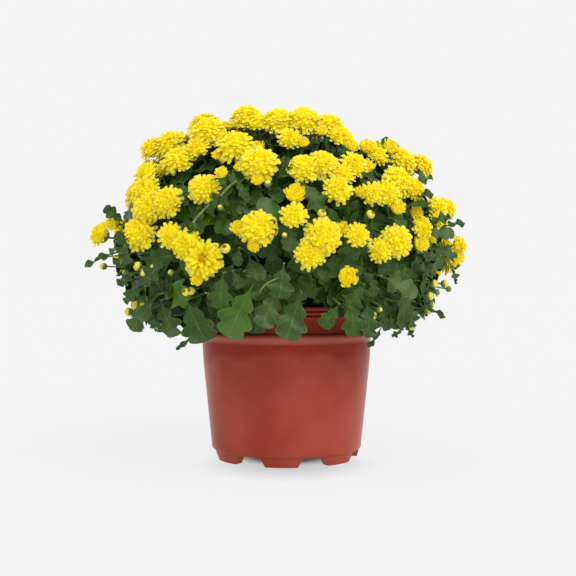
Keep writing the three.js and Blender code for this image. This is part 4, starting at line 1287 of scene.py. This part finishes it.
def grow_skirt(thicket, large):
    """Leaves that hang outward and down over the pot's rim."""
    chance = thicket.chance
    for _ in range(SKIRT_STEPS):
        turn = cutting_angle(thicket.cutting) + chance.uniform(-SKIRT_HALF_TURN, SKIRT_HALF_TURN)
        z = chance.uniform(SKIRT_BOTTOM, SKIRT_TOP)
        ring = SKIRT_RING + (z - SKIRT_BOTTOM) * 0.75 + chance.uniform(-8, 12)
        root = polar(ring, turn, z) + [DOME_CENTRE[0] * 0.5, 0, 0]
        low = (SKIRT_TOP - z) / (SKIRT_TOP - SKIRT_BOTTOM)
        aim = polar(1, turn + chance.uniform(-1.1, 1.1), chance.uniform(-1.3, -0.1) * low - 0.1)
        face = polar(0.9, turn, chance.uniform(0.2, 0.9))
        if thicket.try_leaf(large, root, aim, face, chance.uniform(*SKIRT_LENGTHS), spare=0.5):
            thicket.limb([start_near(root + [0, 0, 14], 0.7), root], [1.1, 0.8])


def placed_leaves():
    """Foot, tip and breadth of each leaf that has its own place."""
    placed = []
    for across, up, tip_across, tip_up, breadth in FRONT_LEAVES:
        root, share = sighted(across, up)
        placed.append((root, root + np.array([tip_across - across, -4, tip_up - up]) * share, breadth))
    return placed + [(np.array(root), np.array(tip), breadth) for root, tip, breadth in OUTERMOST_LEAVES]


def grow_placed_leaves(thicket, large):
    """The cutting's share of the leaves that have their own place, each with its own draws."""
    for number, (root, tip, breadth) in enumerate(placed_leaves()):
        if not thicket.owns(root):
            continue
        chance = random.Random(SEED + 40 + number)
        shade = FIRST_LEAF_PAINTED_LIGHT if number == 0 else chance.betavariate(1.6, 2.6) * PLACED_DARK
        template = chance.choice(large)
        at_the_side = abs(root[0]) > SIDE_ACROSS and abs(root[1]) < SIDE_DEPTH
        face = outward_on_dome(root) + [0, -SIDE_TO_FRONT if at_the_side else 0, 0.35]
        aim = tip - root
        root = root - aim * PLACED_STALK
        length = np.linalg.norm(aim) * PLACED_LENGTH
        if not meets_pot(points_on_leaf(root, aim, face, length)):
            thicket.add_leaf(template, root, aim, face, length, shade, breadth)
        thicket.limb([start_near(root, 0.6), root], [1.4, 0.9])


def grow_front_stalks(thicket):
    """Pale stalks that lie over the front leaves."""
    for places, radius in FRONT_STALKS:
        points = [sighted(across, up)[0] for across, up in places]
        if thicket.owns(points[1]):
            points = [point + outward_on_dome(point) * 2 for point in points]
            thicket.pale_limbs.append((points, [radius] * len(points)))


def grow_buds(thicket, closed_bud, opening_bud):
    """The cutting's share of the front buds, each on its stalk."""
    chance = thicket.chance
    for place, radius in sighted_rounds(FRONT_BUDS):
        if not thicket.owns(place) or thicket.hits_bloom(place[None], radius):
            continue
        start = start_near(place, 0.62)
        along = unit(place - start)
        middle = (start + place) / 2 + [0, 0, chance.uniform(-3, 3)]
        thicket.limb([start, middle, place], [1.0, 0.8, 0.7])
        bud = opening_bud if radius > CLOSED_BUD_RADIUS else closed_bud
        matrix = frame_at(place, beside(along), unit(along + [0, 0, 0.5]), radius)
        thicket.pieces.append(copy_of(bud, matrix, shade=chance.random()))


def model_limbs(limbs, shade):
    """Limbs as one mesh, from round-sectioned curves."""
    curve = bpy.data.curves.new("limbs", "CURVE")
    curve.dimensions = "3D"
    curve.bevel_depth = MM
    curve.bevel_resolution = 1
    curve.resolution_u = 2
    curve.use_fill_caps = True
    for points, radii in limbs:
        spline = curve.splines.new("BEZIER")
        spline.bezier_points.add(len(points) - 1)
        for knot, point, radius in zip(spline.bezier_points, points, radii):
            knot.co = Vector(point) * MM
            knot.radius = radius
            knot.handle_left_type = knot.handle_right_type = "AUTO"
    piece = bpy.data.objects.new("limbs", curve)
    link(piece)
    only(piece)
    bpy.ops.object.convert(target="MESH")
    piece = bpy.context.object
    piece.data.materials.clear()
    coat(piece, STALKS)
    set_values(piece, shade=shade)
    return piece


def model_core(cutting):
    """The dense inner twigs and leaves of one cutting, mostly hidden: a rough part of a rounded thicket,
    near-black with painted shade.
    """
    core = new_ball(1, 72, 36)
    centre = Vector(DOME_CENTRE * MM)
    core.data.transform(Matrix.Translation(centre) @ Matrix.Diagonal((*(DOME_RADII * CORE_SHARE * MM), 1)))
    for vertex in core.data.vertices:
        rough = sum(noise.noise(vertex.co * scale) * height for scale, height in CORE_ROUGHNESS)
        vertex.co += (vertex.co - centre) * rough
        vertex.co.z = max(vertex.co.z, THICKET_BOTTOM * MM)
    edit(core)
    for side in (-1, 1):
        select_all()
        corner = polar(CORE_CORNER * MM, cutting_angle(cutting), 0)
        outward = cutting_angle(cutting) + side * (math.pi / CUTTING_COUNT + math.pi / 2)
        bpy.ops.mesh.bisect(plane_co=corner, plane_no=polar(1, outward, 0), use_fill=True, clear_outer=True)
    select_all()
    bpy.ops.mesh.remove_doubles(threshold=1e-5)
    close_up()
    coat(core, SHADE)
    set_values(core, shade=0.2)
    return core


def dress_cuttings(blooms):
    """One piece of foliage for each cutting: its core, limbs, leaves, cups and buds."""
    large, small = model_leaves(random.Random(SEED + 20))
    buds = model_bud(opening=False), model_bud(opening=True)
    cup = model_cup()
    for cutting in range(CUTTING_COUNT):
        thicket = Thicket(cutting, blooms)
        grow_stems(thicket)
        grow_placed_leaves(thicket, large)
        grow_stalks(thicket, small, cup)
        grow_skirt(thicket, large)
        grow_cover(thicket, large, small)
        grow_buds(thicket, *buds)
        grow_front_stalks(thicket)
        pieces = [model_core(cutting), model_limbs(thicket.limbs, 0.3), *thicket.pieces]
        if thicket.pale_limbs:
            pieces.append(model_limbs(thicket.pale_limbs, 1.0))
        foliage = join(pieces, f"foliage_{cutting + 1}")
        stand_for(foliage, "foliage", f"cutting_{cutting + 1}")
    discard(*large, *small, *buds, cup)


# ---- pot


def wall_radius(z):
    share = (z - FOOT_HEIGHT) / (SHOULDER_HEIGHT - FOOT_HEIGHT)
    return BODY_BOTTOM_RADIUS + (SHOULDER_RADIUS - BODY_BOTTOM_RADIUS) * share


def arc(centre, radii, start, end, steps):
    """Points of a rounded part of the profile, by angle in degrees."""
    points = []
    for i in range(steps + 1):
        angle = math.radians(start + (end - start) * i / steps)
        points.append((centre[0] + radii[0] * math.cos(angle), centre[1] + radii[1] * math.sin(angle)))
    return points


def pot_profile():
    """Radius and height of the pot's section, from the floor's underside up the outside and down inside."""
    under = FOOT_HEIGHT + FLOOR_RISE
    low = under + BASE_ROUND
    points = [(FOOT_INNER, under), (FOOT_OUTER_TOP - 0.4, under)]
    points += arc((wall_radius(low) - BASE_ROUND * 0.6, low), (BASE_ROUND * 0.6, BASE_ROUND), -80, 0, 4)
    points += [(wall_radius(z), z) for z in (30, 60, 90)]
    bead = (SHOULDER_RADIUS - BEAD_DEPTH + 0.5, SHOULDER_HEIGHT + BEAD_RISE)
    points += [(SHOULDER_RADIUS - 1.2, SHOULDER_HEIGHT - 1.6)]
    points += arc(bead, (BEAD_DEPTH, BEAD_HALF_HEIGHT), -62, 84, 8)
    top = bead[1] + BEAD_HALF_HEIGHT
    points += [(COLLAR_RADIUS + 1.6, top + 0.1), (COLLAR_RADIUS + 0.5, top + 0.6)]
    points += [(COLLAR_RADIUS, top + 1.8)]
    for ridge in range(RIDGE_COUNT, 0, -1):
        z = RIM_HEIGHT - ridge * RIDGE_HEIGHT
        points += [(COLLAR_RADIUS + 0.3, z - 0.3), (COLLAR_RADIUS + 1.0, z + 0.4)]
        points += [(RIM_RADIUS - 0.3, z + 1.9), (RIM_RADIUS, z + 2.4), (RIM_RADIUS - 0.2, z + 3.0)]
    points += arc((RIM_RADIUS - 0.8, RIM_HEIGHT - 0.8), (0.8, 0.8), 0, 180, 6)
    neck = COLLAR_RADIUS - WALL
    points += [(neck, RIM_HEIGHT - 6), (neck, SHOULDER_HEIGHT + 2)]
    floor = under + FLOOR
    points += [(SHOULDER_RADIUS - WALL, SHOULDER_HEIGHT - 1.5), (wall_radius(60) - WALL, 60)]
    points += [(wall_radius(floor + 2) - WALL, floor + 2), (wall_radius(floor) - WALL - 2, floor)]
    return points


def lathe(name, profile, segments, scale=MM):
    """A turned solid, extruded ring by ring from a circle, with both ends closed flat."""
    radius, z = profile[0]
    place = (0, 0, z * scale)
    turned = new_mesh("circle", vertices=segments, radius=radius * scale, fill_type="NGON", location=place)
    turned.name = name
    edit(turned)
    for wider, higher in profile[1:]:
        extrude((0, 0, (higher - z) * scale))
        resize((wider / radius, wider / radius, 1), (0, 0, higher * scale))
        radius, z = wider, higher
    close_up()
    return turned


def add_feet(pot):
    """Pulls the feet down out of the ring under the floor, and tapers each."""
    under = (FOOT_HEIGHT + FLOOR_RISE) * MM
    half = math.radians(FOOT_TOP_DEG) / 2
    taper = FOOT_BOTTOM_DEG / FOOT_TOP_DEG
    edit(pot, "FACE")
    for foot in range(FOOT_COUNT):
        angle = math.radians(FOOT_TURN_DEG) + foot / FOOT_COUNT * TURN

        def in_foot(face):
            middle = face.calc_center_median()
            off = wrapped(math.atan2(middle.y, middle.x) - angle)
            ring = math.hypot(middle.x, middle.y)
            return abs(off) < half and abs(middle.z - under) < 1e-5 and ring > FOOT_INNER * MM

        select_where(in_foot, "faces")
        extrude((0, 0, -under))
        resize((taper, taper, 1), polar((FOOT_INNER + FOOT_OUTER_BOTTOM) / 2 * MM, angle, 0))
    close_up()


def drill_drains(pot):
    drills = []
    size = {"vertices": 24, "radius": DRAIN_RADIUS * MM, "depth": FOOT_HEIGHT * 1.6 * MM}
    for i in range(DRAIN_COUNT):
        place = polar(DRAIN_RING * MM, (i + 0.25) / DRAIN_COUNT * TURN, FOOT_HEIGHT * MM)
        drills.append(new_mesh("cylinder", location=place, **size))
    drill = join(drills, "drain_drills")
    apply_modifier(pot, "BOOLEAN", object=drill, operation="DIFFERENCE", solver="EXACT")
    discard(drill)


def model_pip():
    """The small raised mark that moulding leaves low on the wall."""
    place = polar((wall_radius(PIP_HEIGHT) - 0.5) * MM, math.radians(PIP_TURN_DEG), PIP_HEIGHT * MM)
    return new_ball(PIP_RADIUS * MM, location=place)


def dress_pot():
    pot = lathe("nursery_pot", pot_profile(), POT_SEGMENTS)
    add_feet(pot)
    drill_drains(pot)
    pot = join([pot, model_pip()], "nursery_pot")
    smooth_below(32)
    coat(pot, POT)
    stand_for(pot, "pot", "pot")


def dress_soil():
    floor = FOOT_HEIGHT + FLOOR_RISE + FLOOR + GAP
    inset = WALL + GAP
    neck = COLLAR_RADIUS - inset
    wide = SHOULDER_RADIUS - inset
    profile = [(wall_radius(floor) - inset - 2, floor), (wall_radius(floor + 2) - inset, floor + 2)]
    profile += [(wide - 0.3, SHOULDER_HEIGHT - 2), (neck, SHOULDER_HEIGHT + COLLAR_STEP)]
    profile += [(neck, SOIL_TOP - 1)]
    for ring in range(1, SOIL_RINGS):
        share = ring / SOIL_RINGS
        profile.append((neck * (1 - share), SOIL_TOP + SOIL_CROWN * share))
    soil = lathe("potting_mix", profile, SOIL_SEGMENTS)
    for vertex in soil.data.vertices:
        if vertex.co.z > (SOIL_TOP - 0.5) * MM:
            lump = noise.noise(vertex.co * 130) * 2.2 + noise.noise(vertex.co * 420) * 1.2
            vertex.co.z += lump * MM
    coat(soil, SOIL)
    soil.data.shade_smooth()
    stand_for(soil, "soil", "soil")


# ---- stage


def add_light(name, source, spread, strength):
    """A broad, even lamp far away in the given direction."""
    light = bpy.data.lights.new(name, "SUN")
    light.angle = math.radians(spread)
    light.energy = strength
    lamp = bpy.data.objects.new(name, light)
    lamp.rotation_euler = (-Vector(source)).to_track_quat("-Z", "Y").to_euler()
    link(lamp)


def set_stage():
    floor = new_mesh("circle", vertices=96, radius=30, fill_type="NGON")
    floor.name = "studio_floor"
    finish = Finish(
        "studio_floor",
        Base_Color=(FLOOR_PALE, FLOOR_PALE, FLOOR_PALE, 1),
        Roughness=0.9,
        Specular_IOR_Level=0.0,
        Emission_Strength=FLOOR_GLOW,
    )
    # The floor's glow is faded near the pot by a painted contact shadow.
    glow = 1
    for middle, near, far, least in PAINTED_FLOOR_SHADOWS:
        away = finish.distance(middle)
        glow = (finish.between(away, near * MM, far * MM) * (1 - least) + least) * glow
    coat(floor, finish.feed(Emission_Color=glow))
    world = bpy.data.worlds.new("studio")
    bpy.context.scene.world = world
    world.use_nodes = True
    background = world.node_tree.nodes["Background"]
    background.inputs["Color"].default_value = (1, 1, 1, 1)
    background.inputs["Strength"].default_value = SKY
    add_light("key", (0.5, -0.75, 1.0), 50, 1.5)
    bpy.context.scene.view_settings.view_transform = "Standard"


def set_camera():
    lens = bpy.data.cameras.new("front")
    lens.sensor_width = SENSOR
    lens.lens = LENS
    lens.shift_x = (PICTURE_SIDE / 2 - POT_AXIS_COLUMN) / PICTURE_SIDE
    camera = bpy.data.objects.new("front", lens)
    camera.location = Vector(EYE) * MM
    camera.rotation_euler = (math.pi / 2, 0, 0)
    link(camera)
    bpy.context.scene.camera = camera


set_camera()
set_stage()
blooms = lay_out_blooms()
blooms += tuck_in_blooms(blooms)
dress_pot()
dress_soil()
dress_blooms(blooms)
dress_cuttings(blooms)
